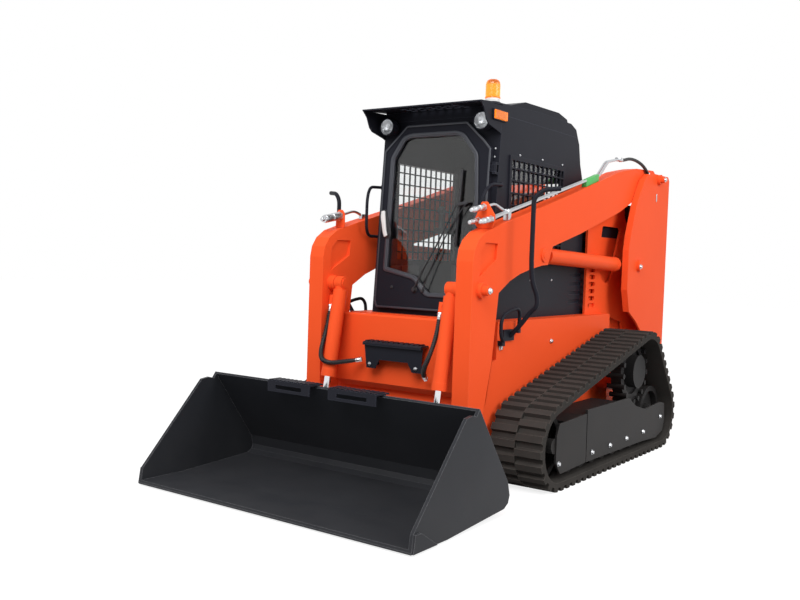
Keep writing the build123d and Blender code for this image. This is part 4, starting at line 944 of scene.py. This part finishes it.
brackets = joined([add_bracket(BRACKET_L), add_bracket(BRACKET_R)])
brackets = fitted(brackets, ORANGE, "coupler_brackets", "boom")
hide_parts("boom_pipes")
couplers = [
    add_coupler(542, 1646, 18, 150), add_coupler(508, 1571, 16, 106),
    add_coupler(592, 1578, 18, 130), add_coupler(-524, 1596, 26, 185),
]
fitted(joined(couplers), STEEL, "quick_couplers", "boom")
pipes = [add_bar([(x, *place) for place in PIPE_RUN], 8) for x in (556, 578)]
pipes.append(add_bar(SHORT_PIPE, 8))
pipes.append(add_bar(RIGHT_PIPE, 9))
pipes.append(add_block((546, 1085, 2110), (588, 1120, 2138), 3))
pipes.append(add_block((597.4, 1628, 2012), (618, 1656, 2046), 3))
pipes.append(add_block((-562, -548, 1586.4), (-534, -508, 1622), 3))
pipes.append(add_turned([(14, 0), (14, 24)], (615, 1622.5, 2045.5), (0, 0.86, -0.5), steps=6))
fitted(joined(pipes), STEEL, "boom_pipe_runs", "boom")
fitted(add_clamp(511, 718, 50), GREEN, "pipe_clamp_green", "boom")
fitted(add_clamp(-580, -544, 68), STEEL, "pipe_clamp_front", "boom")

# %% [markdown]
# ## Seat
# A seat cushion is foam under tight leather, so it swells between its seams. Each pad
# starts as a slightly small block, and cloth simulation with inner pressure rounds it.

# %% Seat
VOXEL = 0.006
PRESSURE = 4.0
LAST_FRAME = 20
REACH = 0.017
CUSHION = ((-206, 134, 1318), (206, 576, 1402))
BACK_SIDE = [(-190, 582, 1446), (-190, 662, 1446), (-190, 690, 1860), (-190, 652, 1872)]


def puffed(pad):
    """Pad blown up as cloth from a fine remesh, no point moved further than REACH."""
    take(pad)
    pad.data.remesh_voxel_size = VOXEL
    bpy.ops.object.voxel_remesh()
    before = [vertex.co.copy() for vertex in pad.data.vertices]
    cloth = pad.modifiers.new("cloth", "CLOTH")
    cloth.settings.use_pressure = True
    cloth.settings.uniform_pressure_force = PRESSURE
    cloth.settings.effector_weights.gravity = 0.0
    scene = bpy.context.scene
    for step in range(1, LAST_FRAME + 1):
        scene.frame_set(step)
    bpy.ops.object.modifier_apply(modifier=cloth.name)
    scene.frame_set(1)
    for vertex, start in zip(pad.data.vertices, before):
        move = vertex.co - start
        if move.length > REACH:
            vertex.co = start + move.normalized() * REACH
    smooth = pad.modifiers.new("smooth", "SUBSURF")
    smooth.levels = 1
    bpy.ops.object.modifier_apply(modifier=smooth.name)
    return pad


cushion = puffed(add_block(*CUSHION, 22))
fitted(cushion, LEATHER, "seat_cushion", "machine", angle=80)
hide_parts("seat")
back = puffed(add_plate(BACK_SIDE, (1, 0, 0), 380, soft=16))
fitted(back, LEATHER, "seat_back", "machine", angle=80)

# %% [markdown]
# ## Cab bolts
# Small hex bolts hold the cab's side panels. One is turned from a profile for each place
# on the left side, and its mirror copy goes on the right.

# %% Cab bolts
SMALL_BOLT = [(8, 0), (8, 2), (5, 2.2), (5, 6)]
CAB_SIDE_X = 440.3
CAB_YZ = ((119, 2017), (419, 2015), (-196, 2011), (10, 1223), (325, 1224))


def add_side_bolts(name, body, profile, x, places, steps=6):
    """The same steel bolt at (y, z) places on the left side and mirrored on the right."""
    parts = []
    for y, z in places:
        bolt = add_turned(profile, (x, y, z), (1, 0, 0), steps=steps, soft=0.6)
        parts += [bolt, copied(bolt, MIRROR_X)]
    return fitted(joined(parts), STEEL, name, body)


add_side_bolts("cab_side_bolts", "machine", SMALL_BOLT, CAB_SIDE_X, CAB_YZ)

# %% [markdown]
# ## Pivot pins
# A pin's capped end shows at the pivots. The boom's cap takes its place from the joint it
# belongs to, and the other two are given. The lower cap on the tower is about 20 mm
# nearer to the front than the axis of the lift cylinder's rod.

# %% Pivot pins
PIN = [(19, 0), (19, 5), (13, 6), (13, 14), (9, 16)]
LOWER_CAP_YZ = (1364, 1336)
TILT_PIN_YZ = (-895, 1169)
joint_at = {joint["name"]: joint["pos_m"] for joint in frame["joints"] if "pos_m" in joint}
BOOM_YZ = (joint_at["boom_lift"][1] * 1000, joint_at["boom_lift"][2] * 1000)
add_side_bolts("tower_pins", "machine", PIN, 700.3, [BOOM_YZ], steps=32)
add_side_bolts("cylinder_pins", "machine", PIN, 672.3, [LOWER_CAP_YZ], steps=32)
add_side_bolts("arm_pins", "boom", PIN, 657.3, [TILT_PIN_YZ], steps=32)

# %% [markdown]
# ## Cover bolts, studs, rivets and slots
# Hex bolts hold the track covers and the hull's sides, two studs hold the front step, and
# three rivets sit on the cab's front pillar. Each tower has a small oval plate on its side.

# %% Cover bolts and small plates
HEX = [(17, 0), (17, 4), (12, 4.4), (12, 14)]
COVER_X = 900.3
COVER_YZ = ((57, 150), (346, 152), (636, 157), (951, 160), (1293, 229), (-433, 155))
HULL_X = 560.3
HULL_YZ = ((-575, 822), (106, 827))
STEP_BOLT = [(13, 0), (13, 3), (9, 3.3), (9, 9)]
STEP_PLACES = ((-160, -904.3, 684), (180, -904.3, 684))
RIVET = [(6.5, 0), (6.5, 2), (3, 4)]
RIVET_XZ = ((408, 2025), (406, 1974), (404, 1924))
TOWER_X = 650.3
SLOT_YZ = ((1698, 1852), (1716, 1852), (1716, 1916), (1698, 1916))

add_side_bolts("cover_bolts", "machine", HEX, COVER_X, COVER_YZ)
add_side_bolts("hull_bolts", "machine", HEX, HULL_X, HULL_YZ)
studs = [add_turned(STEP_BOLT, place, (0, -1, 0), steps=6) for place in STEP_PLACES]
fitted(joined(studs), STEEL, "step_bolts", "boom")
rivets = [add_door_stud(x, z, 0.3, RIVET, steps=16) for x, z in RIVET_XZ]
fitted(joined(rivets), STEEL, "pillar_rivets", "machine")
slot_plate = add_plate([(TOWER_X, y, z) for y, z in SLOT_YZ], (1, 0, 0), 3, soft=0.5, corner=8.5)
slots = joined([slot_plate, copied(slot_plate, MIRROR_X)])
fitted(slots, STEEL, "tower_slots", "machine")
